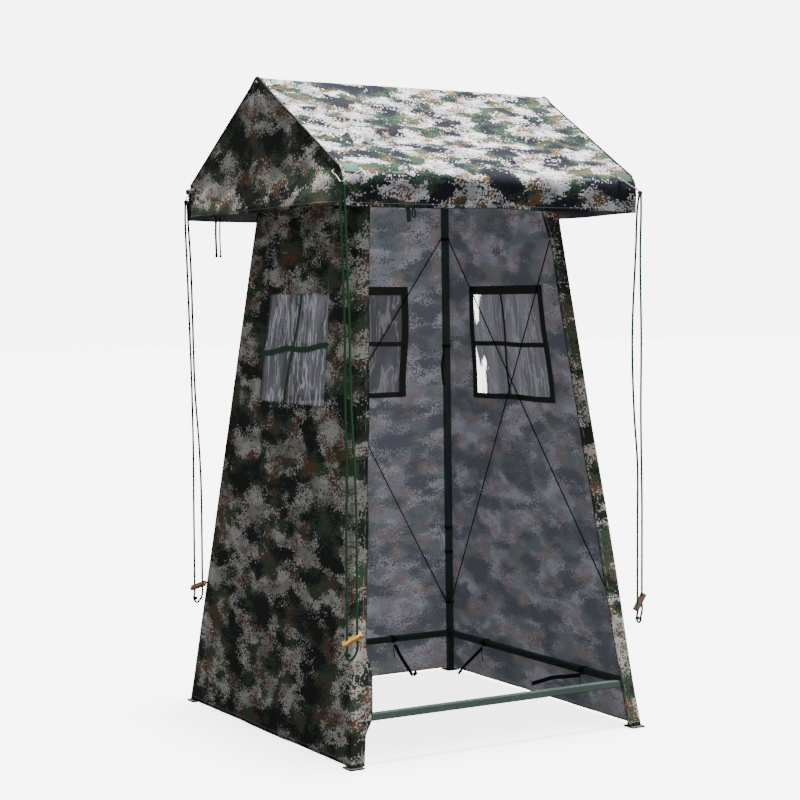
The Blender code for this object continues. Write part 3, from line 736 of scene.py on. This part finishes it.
def wall_slack(u, z, seed):
    """How far the cloth stands off its plane: creases down it, none inwards over the legs and rails."""
    free = smooth_step(0.0, 0.10, 1 - np.abs(u)) * smooth_step(0.0, 0.08, z)
    free = free * smooth_step(0.0, 0.12, 1.95 - z) * smooth_step(0.020, 0.060, np.abs(z - RAIL_Z))
    upright = folds(u * 6 + 9, z * 1.6 + u * 1.2, seed) + 0.5 * folds(u * 13 + 4, z * 2.6 - u, seed + 1)
    diagonal = 1 - 2 * np.abs(folds(u * 2.5 + z * 2.2, z * 1.4 - u * 1.2 + 5, seed + 2))
    height = 0.0024 * upright + 0.0022 * diagonal
    flare = 0.006 * smooth_step(0.16, 0.0, z) * folds(u * 5 + 3, z * 0.0 + 1.0, seed + 3)
    return height * free + np.maximum(height, 0.0) * (1 - free) + np.maximum(flare, 0.0)


# The walls' linings glow in their own colours, painted light that stands in for daylight through the cloth;
# the back wall's lining is a copy that glows brighter, painted light for a brighter back wall.
lining = camouflage("lining", LINING_TONES, 0.80, 0.58, 0.0040, 0.045, 0.30, 4.0, 0.27, 0.010)
lining_back_painted_brighter = camouflage("lining_back_painted_brighter", LINING_TONES, 0.80, 0.58, 0.0050, 0.035, 0.34, 4.0, 0.36, 0.010)
heights = np.concatenate([
    np.linspace(WALL_FOOT, WINDOW_LOW, 92), np.linspace(WINDOW_LOW, WINDOW_HIGH, 36)[1:],
    np.linspace(WINDOW_HIGH, WALL_TOP, 30)[1:],
])
across = np.concatenate([
    np.linspace(-1.0, -WINDOW, 24), np.linspace(-WINDOW, WINDOW, 48)[1:], np.linspace(WINDOW, 1.0, 24)[1:],
])
strip_share = np.linspace(0.0, 1.0, 9)[1:]

for wall, seed in (("left", 100), ("back", 200), ("right", 300)):
    u, z = np.meshgrid(across, heights)
    sheet_points = wall_xyz(wall, u, z, OUT + wall_slack(u, z, seed))
    half = (leg_x(z) if wall == "back" else leg_y(z)) + OUT
    uv = np.stack([u * half + seed * 0.01, z], axis=-1)
    hem = z - WALL_FOOT
    mid_u = (across[1:] + across[:-1]) / 2
    mid_z = (heights[1:] + heights[:-1]) / 2
    keep = ~((np.abs(mid_u)[None] < WINDOW) & (mid_z[:, None] > WINDOW_LOW) & (mid_z[:, None] < WINDOW_HIGH))
    if wall != "back":
        side = -1.0 if wall == "left" else 1.0
        z2 = np.repeat(heights[:, None], len(strip_share), axis=1)
        if wall == "left":
            width = 0.052 + 0.024 * smooth_step(0.42, 0.30, z2) * smooth_step(0.10, 0.17, z2)
            width = width + 0.004 * folds(z2 * 5 + 2, z2 * 0, 130)
        else:
            width = 0.057 + 0.018 * smooth_step(1.76, 1.93, z2) + 0.003 * folds(z2 * 5 + 2, z2 * 0, 330)
        strip_x = side * (leg_x(z2) + OUT - width * strip_share)
        puff = 0.003 * np.maximum(folds(z2 * 7, strip_share * 1.5 + 0 * z2, 140), 0) * strip_share
        strip_y = -(leg_y(z2) + OUT + puff)
        strip = np.stack([strip_x, strip_y, z2], axis=-1)
        strip_uv = np.stack([-(leg_y(z2) + OUT) - width * strip_share + seed * 0.01, z2], axis=-1)
        strip_hem = np.minimum(z2 - WALL_FOOT, width * (1 - strip_share))
        sheet_points = np.concatenate([strip[:, ::-1], sheet_points], axis=1)
        uv = np.concatenate([strip_uv[:, ::-1], uv], axis=1)
        hem = np.concatenate([strip_hem[:, ::-1], hem], axis=1)
        keep = np.concatenate([np.ones((len(heights) - 1, len(strip_share)), bool), keep], axis=1)
    if wall != "right":
        sheet_points, uv, hem, keep = sheet_points[:, ::-1], uv[:, ::-1], hem[:, ::-1], keep[:, ::-1]
    inside = lining_back_painted_brighter if wall == "back" else lining
    panel = grid_piece("wall_sheet_" + wall, sheet_points, uv, [wall_print, inside], keep=keep, hem=hem)
    thickened(panel, 0.0012)
    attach(panel, "tent")
    if wall == "back":
        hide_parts("wall_back")
    else:
        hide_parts("wall_" + wall, "front_strip_" + wall)
    rails = ["upper_rail_" + wall, "lower_rail_" + wall]

for name, side in (("left", -1), ("right", 1)):
    z = np.linspace(0.008, 1.995, 80)
    corner = np.stack([side * (leg_x(z) + OUT), leg_y(z) + OUT, z], axis=1)
    binding = tube_piece("corner_binding_" + name, corner, 0.0030, (1, 0, 0), wall_print, sides=8)
    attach(binding, "tent")


# ---------------------------------------------------------------- windows
# Clear vinyl panes, creased from folding, sewn behind the openings with an olive tape inside. Two
# narrow straps cross each pane, one level and one upright, both slack enough to wander.
def vinyl(name, haze, painted_glow, painted_reflection, seed, clear_from):
    """Clear film with painted glints: thin bright lines where noise crosses its middle and patches of
    painted sheen, in its colour and glowing, which also hide what is behind.

    Haze is how much a plain stretch hides, and the veil, a painted grey reflection, glows over the whole
    film. Past clear_from across the pane the film is clearer.
    """
    material, tree, shader = new_material(name, 0.16)
    cloth = tree.node("ShaderNodeUVMap", {"uv_map": "cloth"}, {})
    drawn = tree.node("ShaderNodeVectorMath", {"operation": "MULTIPLY"}, {0: cloth, 1: (1.0, 0.17, 1.0)})
    shift = tree.node("ShaderNodeVectorMath", {"operation": "ADD"}, {0: drawn, 1: (seed, seed, 0.0)})
    values = {"Vector": shift, "Scale": 24.0, "Detail": 4.0, "Distortion": 0.7}
    rough = tree.node("ShaderNodeTexNoise", {}, values)
    values = {"Vector": shift, "Scale": 9.0, "Detail": 2.0, "Distortion": 0.6}
    broad = tree.node("ShaderNodeTexNoise", {}, values)
    line = 1.0 - tree.maths("ABSOLUTE", rough - 0.5).step(0.022, 0.020)
    sheen = broad.step(0.55, 0.10)
    # painted light: the film's grey, its bright crease lines and its sheen are painted glints and reflection
    # in its colour, not a tint of the film
    (line * 0.7 + sheen * 0.3).mix((0.17, 0.17, 0.20), (0.75, 0.75, 0.82)).into(shader.inputs["Base Color"])
    along = tree.node("ShaderNodeSeparateXYZ", {}, {0: cloth}, 0)
    height = tree.node("ShaderNodeSeparateXYZ", {}, {0: cloth}, 1)
    edge = along + tree.maths("SINE", height * 16.0 + 0.6) * 0.035 + (rough - 0.5) * 0.16
    cover = tree.maths("MINIMUM", line * 0.30 + sheen * 0.10 + haze, 1.0)
    (cover - edge.step(clear_from, 0.006) * (0.72 - line * 0.45)).into(shader.inputs["Alpha"])
    (rough * 0.6 + broad).bump(0.012, 0.8).into(shader.inputs["Normal"])
    # painted light: the glints, the sheen and the grey reflection also glow, though the film is no lamp
    glare = line * 0.7 + sheen * 0.25 + painted_reflection
    glare.mix((0.02, 0.02, 0.025), (0.80, 0.80, 0.90)).into(shader.inputs["Emission Color"])
    shader.inputs["Emission Strength"].default_value = painted_glow
    return material


def webbing(name, colour):
    """Woven tape: fine ribs across it, with painted shade between the ribs, and uneven dye."""
    material, tree, shader = new_material(name, 0.8)
    cloth = tree.node("ShaderNodeUVMap", {"uv_map": "cloth"}, {})
    length = tree.node("ShaderNodeSeparateXYZ", {}, {0: cloth}, 1)
    rib = tree.maths("SINE", length * (2 * math.pi / 0.0016)) * 0.5 + 0.5
    dye = tree.node("ShaderNodeTexNoise", {}, {"Vector": cloth, "Scale": 25.0, "Detail": 3.0})
    # painted shade: darker between the ribs, where their bump is low; the uneven dye is the tape's own
    # colour
    dark = tuple(channel * 0.5 for channel in colour)
    (rib * 0.25 + dye * 0.9).mix(dark, colour).into(shader.inputs["Base Color"])
    rib.bump(0.0003).into(shader.inputs["Normal"])
    return material


olive_tape = webbing("olive_tape", (0.060, 0.068, 0.058))
green_tape = webbing("green_tape", (0.030, 0.110, 0.045))
# The back and right panes are nearly opaque, and their grey is a painted reflection glowing over them, so
# from other sides they look grey rather than clear. The left pane is hazy, with painted glints.
pane_clear = vinyl("pane_clear", 0.42, 0.16, 0.10, 3.0, 9.0)
pane_grey = vinyl("pane_grey", 0.985, 0.12, 0.70, 8.0, 0.195)
pane_back = vinyl("pane_back", 0.985, 0.05, 0.60, 12.0, 9.0)
PANE_OUT = 0.0128
TAPE_OUT = 0.0104

for wall, seed, film in (("left", 400, pane_clear), ("back", 500, pane_back), ("right", 600, pane_grey)):
    wide, tall = np.meshgrid(np.linspace(-1.0, 1.0, 56), np.linspace(0.0, 1.0, 60))
    z = WINDOW_LOW - 0.012 + (WINDOW_HIGH - WINDOW_LOW + 0.024) * tall
    u = wide * (WINDOW + 0.024)
    hold = smooth_step(0.0, 0.10, 1 - np.abs(wide)) * smooth_step(0.0, 0.10, 0.5 - np.abs(tall - 0.5))
    creased = 1 - 2 * np.abs(folds(wide * 4 + tall * 1.6, tall * 2.2 - wide, seed))
    creased = creased + 0.6 * (1 - 2 * np.abs(folds(wide * 9 - tall * 2 + 3, tall * 3 + wide, seed + 1)))
    out = PANE_OUT - 0.0022 * hold * (creased + 1.6) * 0.5
    points = wall_xyz(wall, u, z, out)
    uv = np.stack([wide * 0.25, tall * 0.40], axis=-1)
    order = slice(None, None, -1) if wall != "right" else slice(None)
    pane = grid_piece("window_pane_" + wall, points[:, order], uv[:, order], [film])
    thickened(pane, 0.0004, lining_slot=0)
    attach(pane, "tent")
    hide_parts("window_film_" + wall)
    "wall_" + wall

    # the tapes round the opening: the two ends of each as (u, height), and half its width
    top, foot, reach = WINDOW_HIGH + 0.030, WINDOW_LOW - 0.018, WINDOW + 0.022
    frames = {
        "top": ([(-reach, WINDOW_HIGH + 0.014), (reach, WINDOW_HIGH + 0.014)], 0.017),
        "foot": ([(-reach, WINDOW_LOW - 0.006), (reach, WINDOW_LOW - 0.006)], 0.011),
        "minus": ([(-WINDOW - 0.016, foot), (-WINDOW - 0.016, top)], 0.016),
        "plus": ([(WINDOW + 0.016, foot), (WINDOW + 0.016, top)], 0.016),
    }
    level_way = (1, 0, 0) if wall == "back" else (0, 1, 0)
    for part, (ends, half_width) in frames.items():
        upright = part in ("minus", "plus")
        t = np.linspace(0.0, 1.0, 40)
        wander = 0.009 * np.sin(t * 7 + seed) if upright else 0.0
        sagging = 0.002 * np.sin(t * 9 + seed) if part == "foot" else 0.0
        line_u = ends[0][0] + (ends[1][0] - ends[0][0]) * t + wander
        line_z = ends[0][1] + (ends[1][1] - ends[0][1]) * t + sagging
        layer = TAPE_OUT - (0.0012 if upright else 0.0)
        centres = wall_xyz(wall, line_u, line_z, layer + 0.0004 * np.sin(t * 23 + seed))
        sideways = level_way if upright else (0, 0, 1)
        name = f"window_tape_{wall}_{part}"
        tape = tube_piece(name, centres, half_width, sideways, olive_tape, flat=0.05, sides=12)
        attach(tape, "tent")

    # where the level strap lies and how far it wavers, how far out from it the upright one lies, the
    # level one's sag, half the widths of both, and their tape
    straps = (0.0165, 0.0015, -0.0013, 0.005, 0.0105, 0.0075, green_tape)
    if wall != "left":
        straps = (0.0074, 0.0004, 0.0008, 0.0015, 0.009, 0.0065, olive_tape)
    out, waver, apart, sag, wide, narrow, tape = straps
    t = np.linspace(0.0, 1.0, 50)
    level_z = {"left": 1.430 - 0.030 * t, "back": 1.418 + 0.0 * t, "right": 1.418 + 0.004 * t}[wall]
    level_z = level_z + sag * np.sin(t * 11 + 1)
    centres = wall_xyz(wall, (2 * t - 1) * (WINDOW + 0.015), level_z, out + waver * np.sin(t * 8))
    level = tube_piece("window_strap_level_" + wall, centres, wide, (0, 0, 1), tape, flat=0.07, sides=12)
    upright_u = {"left": 0.12 - 0.175 * t, "back": 0.01 + 0.0 * t, "right": 0.03 + 0.03 * t}[wall]
    upright_u = upright_u + 0.012 * np.sin(t * 6.5)
    upright_z = WINDOW_LOW - 0.004 + (WINDOW_HIGH - WINDOW_LOW + 0.008) * t
    centres = wall_xyz(wall, upright_u, upright_z, out + apart)
    upright = tube_piece("window_strap_upright_" + wall, centres, narrow, level_way, tape, flat=0.08,
                         sides=12)
    for strap in (level, upright):
        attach(strap, "tent")


# ---------------------------------------------------------------- braces
# Black stay cords that cross behind each wall, drawn tight between wire hooks at the top of the legs
# and short springs at the bottom.
steel_wire, tree, shader = new_material("steel_wire", 0.35)
shader.inputs["Metallic"].default_value = 1.0
place = tree.node("ShaderNodeTexCoord", {}, {}, 3)
tarnish = tree.node("ShaderNodeTexNoise", {}, {"Vector": place, "Scale": 300.0})
tarnish.mix((0.16, 0.16, 0.17), (0.42, 0.42, 0.44)).into(shader.inputs["Base Color"])

black_cord = cord_material("black_cord", (0.016, 0.017, 0.020), 0.012)
TUBE_HALF = 0.0125
STAY_RADIUS = 0.0023
STAY_HIGH = 1.850

for wall in ("left", "back", "right"):
    for name, start, offset in (("a", -1, -0.004), ("b", 1, 0.004)):
        low_z = 0.450 if start == 1 and wall != "back" else 0.300
        ends = []
        for side, z in ((start, STAY_HIGH), (-start, low_z)):
            reach = (leg_x(z) if wall == "back" else leg_y(z)) - TUBE_HALF - 0.0025
            outward = {"left": -1, "back": 1, "right": 1}[wall]
            if wall == "back":
                ends.append(np.array([side * reach, leg_y(z) + offset, z]))
            else:
                ends.append(np.array([outward * (leg_x(z) + offset), side * reach, z]))
        t = np.linspace(0.0, 1.0, 120)[:, None]
        path = ends[0] * (1 - t) + ends[1] * t
        path[:, 2] -= 0.006 * np.sin(math.pi * t[:, 0])
        stay = tube_piece(f"stay_{wall}_{name}", path, STAY_RADIUS, (1, 0.3, 0), black_cord, sides=8)
        way = unit(ends[0] - ends[1])
        side_way = unit(np.cross(way, [0.3, 0.9, 0.1]))
        up_way = np.cross(way, side_way)
        s = np.linspace(0.0, 1.0, 220)[:, None]
        coil_angle = s * 2 * math.pi * 16
        ring = np.cos(coil_angle) * side_way + np.sin(coil_angle) * up_way
        coil = ends[1] + way * (0.012 + 0.055 * s) + 0.0052 * ring
        spring = tube_piece(f"stay_spring_{wall}_{name}", coil, 0.0009, tuple(way), steel_wire, sides=6)
        s = np.linspace(0.0, 1.0, 40)[:, None]
        bend = np.sin(s * 5.2) * side_way + 0.5 * (1 - np.cos(s * 5.2)) * up_way
        curl = ends[0] - way * (0.020 * (1 - s)) + 0.0055 * bend
        hook = tube_piece(f"stay_hook_{wall}_{name}", curl, 0.0013, (0.2, 0.3, 0.9), steel_wire, sides=8)
        for piece in (stay, spring, hook):
            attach(piece, "tent")
        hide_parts(f"brace_cord_{wall}_{name}")
        length = round(float(np.linalg.norm(ends[0] - ends[1])), 2)


# ---------------------------------------------------------------- curtain
# The door curtain, one width of the printed cloth rolled up behind the front eave in about twenty
# turns and held by two webbing ties, of which one leaves a tail and a loop below the roll.
CURTAIN_Y = -0.4176
CURTAIN_Z = 1.955
ROLL_RADIUS = 0.0225
TURNS = 20
CURTAIN_COLS = 24

angle = np.linspace(0.0, 2 * math.pi * TURNS, TURNS * 40 + 1)
radius = 0.0040 + (ROLL_RADIUS - 0.0040) * angle / angle[-1]
x = np.linspace(-0.350, 0.350, CURTAIN_COLS)
A, XX = np.meshgrid(angle, x, indexing="ij")
R = np.repeat(radius[:, None], CURTAIN_COLS, axis=1)

# the roll is a spiral, loosened by noise that grows outwards and drawn in at the two ties
outer = R / ROLL_RADIUS
waist = np.exp(-(((np.abs(XX) - 0.24) / 0.03) ** 2))
slack = 1 + 0.05 * folds(A * 0.9 + 3, XX * 12 + 5, 81) * outer - 0.10 * waist * outer
points = np.stack([XX, CURTAIN_Y + R * slack * np.cos(A), CURTAIN_Z + R * slack * np.sin(A)], axis=-1)
run = np.concatenate([[0.0], np.cumsum(radius[1:] * np.diff(angle))])
uv = np.stack([XX, np.repeat(run[:, None], CURTAIN_COLS, axis=1)], axis=-1)
curtain = grid_piece("door_curtain", points, uv, [wall_print], hem=np.full(XX.shape, 0.05))
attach(curtain, "tent")
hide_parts("door_curtain_roll")


def curtain_tape(name, path, half_width, side, tape, flat):
    """A tape or loop of the curtain, riding with the tent."""
    piece = tube_piece(name, path, half_width, side, tape, flat=flat, sides=12)
    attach(piece, "tent")


TIE_X = 0.243
for name, at in (("left", -TIE_X), ("right", TIE_X)):
    turn = np.linspace(-0.4 * math.pi, 1.75 * math.pi, 40)
    reach = ROLL_RADIUS + 0.002
    wrap = np.stack([
        0 * turn + at, CURTAIN_Y - reach * np.cos(turn), CURTAIN_Z + reach * np.sin(turn),
    ], axis=1)
    curtain_tape("curtain_tie_" + name, wrap, 0.010, (1, 0, 0), green_tape, 0.08)

drop = np.linspace(0.0, 1.0, 24)
tail_path = np.stack([
    -TIE_X - 0.006 + 0.012 * drop,
    CURTAIN_Y - 0.012 - 0.004 * np.sin(drop * 5),
    CURTAIN_Z - 0.023 - 0.060 * drop,
], axis=1)
curtain_tape("curtain_tie_tail", tail_path, 0.010, (1, 0.2, 0), green_tape, 0.08)
bight = np.linspace(0.0, 1.0, 30)
loop_path = np.stack([
    -TIE_X + 0.026 + 0.008 * np.sin(bight * math.pi * 2),
    CURTAIN_Y - 0.006 + 0.003 * np.cos(bight * math.pi),
    CURTAIN_Z - 0.020 - 0.048 * np.sin(bight * math.pi),
], axis=1)
curtain_tape("curtain_loop", loop_path, 0.004, (0, 1, 0), olive_tape, 0.2)


# ---------------------------------------------------------------- ties
# Tapes sewn to the walls are tied round two lower rails and the back right leg. Each goes once round
# its tube and is knotted on the inner side. Those on the rails, and one on the leg, leave tails.
def square_wrap(centre, first, second, half):
    """A path once round a square tube: a circle pushed out to a square with rounded corners."""
    angle = np.linspace(0.0, 2 * math.pi * 1.04, 72)
    reach = half / np.maximum(np.abs(np.cos(angle)), np.abs(np.sin(angle))) ** 0.72
    ring = np.cos(angle)[:, None] * np.array(first, float) + np.sin(angle)[:, None] * np.array(second, float)
    return np.array(centre) + reach[:, None] * ring


black_tape = webbing("black_tape", (0.017, 0.020, 0.020))

# each tie: where it is on its rail, the rail's axis, and its tail's points from there
TIES = {
    "back_rail": (
        (0.297, leg_y(RAIL_Z), RAIL_Z), "x",
        [(0.0, -0.020, -0.022), (0.022, -0.034, -0.075), (0.048, -0.052, -0.125), (0.064, -0.060, -0.150),
         (0.084, -0.058, -0.140)],
    ),
    "right_rail_back": (
        (leg_x(RAIL_Z), 0.337, RAIL_Z), "y",
        [(-0.020, 0.0, -0.020), (-0.030, 0.045, -0.060), (-0.044, 0.100, -0.110), (-0.050, 0.140, -0.150)],
    ),
    "right_rail_front": (
        (leg_x(RAIL_Z), -0.355, RAIL_Z), "y",
        [(-0.020, 0.0, -0.016), (-0.034, 0.060, -0.030), (-0.050, 0.150, -0.050), (-0.052, 0.230, -0.078),
         (-0.050, 0.285, -0.096)],
    ),
}
for name, (centre, axis, tail_points) in TIES.items():
    first, along, tail_side = {
        "x": ((0, 1, 0), (1, 0, 0), (1, 0, 0)),
        "y": ((1, 0, 0), (0, 1, 0), (0.2, 0.2, 1)),
    }[axis]
    centre = np.array(centre)
    wrap = tube_piece("tie_wrap_" + name, square_wrap(centre, first, (0, 0, 1), 0.0148), 0.0085, along,
                      black_tape, flat=0.10, sides=10)
    inner = centre - 0.018 * np.array(first)
    knot = tube_piece("tie_knot_" + name, knot_path(inner, 0.0034), 0.0038, KNOT_SIDE, black_tape, flat=0.6,
                      sides=8)
    path = smooth_path(centre + np.array(tail_points), 0.004)
    tail = tube_piece("tie_tail_" + name, path, 0.0080, tail_side, black_tape, flat=0.16, sides=8)
    end_points = np.array([(0, 0, 0), (-0.012, -0.010, -0.035), (-0.010, -0.018, -0.075)])
    path = smooth_path(inner + end_points, 0.004)
    short = tube_piece("tie_end_" + name, path, 0.0055, (1, 1, 0.2), black_tape, flat=0.16, sides=8)
    for piece in (wrap, knot, tail, short):
        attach(piece, "tent")

for level in (1.845, 1.405, 0.630, 0.525, 0.305):
    centre = np.array([leg_x(level), leg_y(level), level])
    path = square_wrap(centre, (1, 0, 0), (0, 1, 0), 0.0142)
    height = str(int(level * 1000))
    wrap = tube_piece("leg_tie_" + height, path, 0.006, (0, 0, 1), black_tape, flat=0.14, sides=10)
    path = knot_path(centre - np.array([0.016, 0.016, 0.0]), 0.0022)
    knot = tube_piece("leg_knot_" + height, path, 0.0024, KNOT_SIDE, black_tape, sides=8)
    for piece in (wrap, knot):
        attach(piece, "tent")
dangle = smooth_path([
    (leg_x(1.40) - 0.020, leg_y(1.40) - 0.018, 1.400), (leg_x(1.34) - 0.034, leg_y(1.34) - 0.020, 1.330),
    (leg_x(1.28) - 0.028, leg_y(1.28) - 0.020, 1.245),
], 0.005)
dangle_tape = tube_piece("leg_tie_tail", dangle, 0.0045, (1, -0.6, 0), black_tape, flat=0.2, sides=8)
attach(dangle_tape, "tent")


# ---------------------------------------------------------------- valance cords
# Two short black cords of different thickness hang side by side from the hem of the left valance, each
# with a knot in its lower end. They are sewn into the hem.
CORD_TOP = 1.915
for name, y, radius, reach in (("thick", 0.388, 0.0045, 0.147), ("thin", 0.352, 0.0032, 0.150)):
    start = (-0.6125, y, CORD_TOP)
    path = smooth_path([start, (-0.6135, y + 0.001, 1.860), (-0.6120, y - 0.001, CORD_TOP - reach)], 0.004)
    hanging = tube_piece("valance_cord_" + name, path, radius, (0, 1, 0), black_cord, sides=8)
    knotted = knot_path(path[-1], radius * 0.32)
    end = tube_piece("valance_cord_knot_" + name, knotted, radius * 0.6, KNOT_SIDE, black_cord, sides=6)
    for piece in (hanging, end):
        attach(piece, "tent")


# ---------------------------------------------------------------- fittings
# Pale metal eyelets are pressed through the cover beside a sewn patch at each corner, and black rubber
# caps close the ends of the ridge pole and the back eave pole where they come through the gables.
eyelet_metal, tree, shader = new_material("eyelet_metal", 0.3)
shader.inputs["Metallic"].default_value = 1.0
place = tree.node("ShaderNodeTexCoord", {}, {}, 3)
tarnish = tree.node("ShaderNodeTexNoise", {}, {"Vector": place, "Scale": 400.0})
tarnish.mix((0.45, 0.43, 0.38), (0.72, 0.70, 0.64)).into(shader.inputs["Base Color"])
cap_rubber, tree, shader = new_material("cap_rubber", 0.55)
shader.inputs["Base Color"].default_value = (0.012, 0.013, 0.015, 1.0)
place = tree.node("ShaderNodeTexCoord", {}, {}, 3)
pores = tree.node("ShaderNodeTexNoise", {}, {"Vector": place, "Scale": 60.0})
pores.bump(0.0005).into(shader.inputs["Normal"])
patch_cloth = webbing("patch_cloth", (0.060, 0.190, 0.130))
patch_dark = webbing("patch_dark", (0.030, 0.070, 0.050))

steps_down = VALANCE_ROWS + np.arange(-1, 5)
outward = np.stack([0 * normal_y, normal_y, normal_z], axis=-1)
skin = slopes + 0.0014 * outward[:, None]
for corner, (side_x, side_y, *_) in GUY_LINES.items():
    columns = np.arange(1, 7) if side_x < 0 else np.arange(cols - 7, cols - 1)
    lines = steps_down if side_y > 0 else rows - 1 - steps_down[::-1]
    patch_points = skin[np.ix_(lines, columns[::-1])]
    patch = grid_piece("corner_patch_" + corner, patch_points, patch_points[..., :2],
                       [patch_cloth if corner == "front_left" else patch_dark])
    thickened(patch, 0.0008, lining_slot=0)
    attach(patch, "tent")
    facings = (("long", (0, side_y, 0.60)), ("end", (side_x, 0, 0.30)))
    for spot, (face, normal) in zip(eyelet_places(side_x, side_y), facings):
        normal = unit(np.array(normal, dtype=float))
        level_way = unit(np.cross([0, 0, 1], normal))
        up_way = np.cross(normal, level_way)
        turn = np.linspace(0.0, 2 * math.pi, 25)
        circle = spot + 0.0062 * (np.cos(turn)[:, None] * level_way + np.sin(turn)[:, None] * up_way)
        eyelet = tube_piece(f"eyelet_{corner}_{face}", circle, 0.0016, tuple(normal), eyelet_metal, sides=8)
        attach(eyelet, "tent")

for name, y, z, size in (("ridge", 0.0, 2.3793, 0.015), ("eave_back", 0.6107, 2.0245, 0.0115)):
    for side in (-1, 1):
        reach = np.array([0.602, 0.626, 0.6335, 0.6355, 0.6360]) * side
        if name == "ridge" and side > 0:
            reach = reach + 0.010
        centres = np.stack([reach, 0 * reach + y, 0 * reach + z], axis=1)
        widths = np.array([1.0, 1.0, 0.92, 0.62, 0.25]) * size
        cap_name = f"pole_cap_{name}_{'left' if side < 0 else 'right'}"
        cap = tube_piece(cap_name, centres, widths, (0, 0, 1), cap_rubber, sides=16)
        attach(cap, "tent")
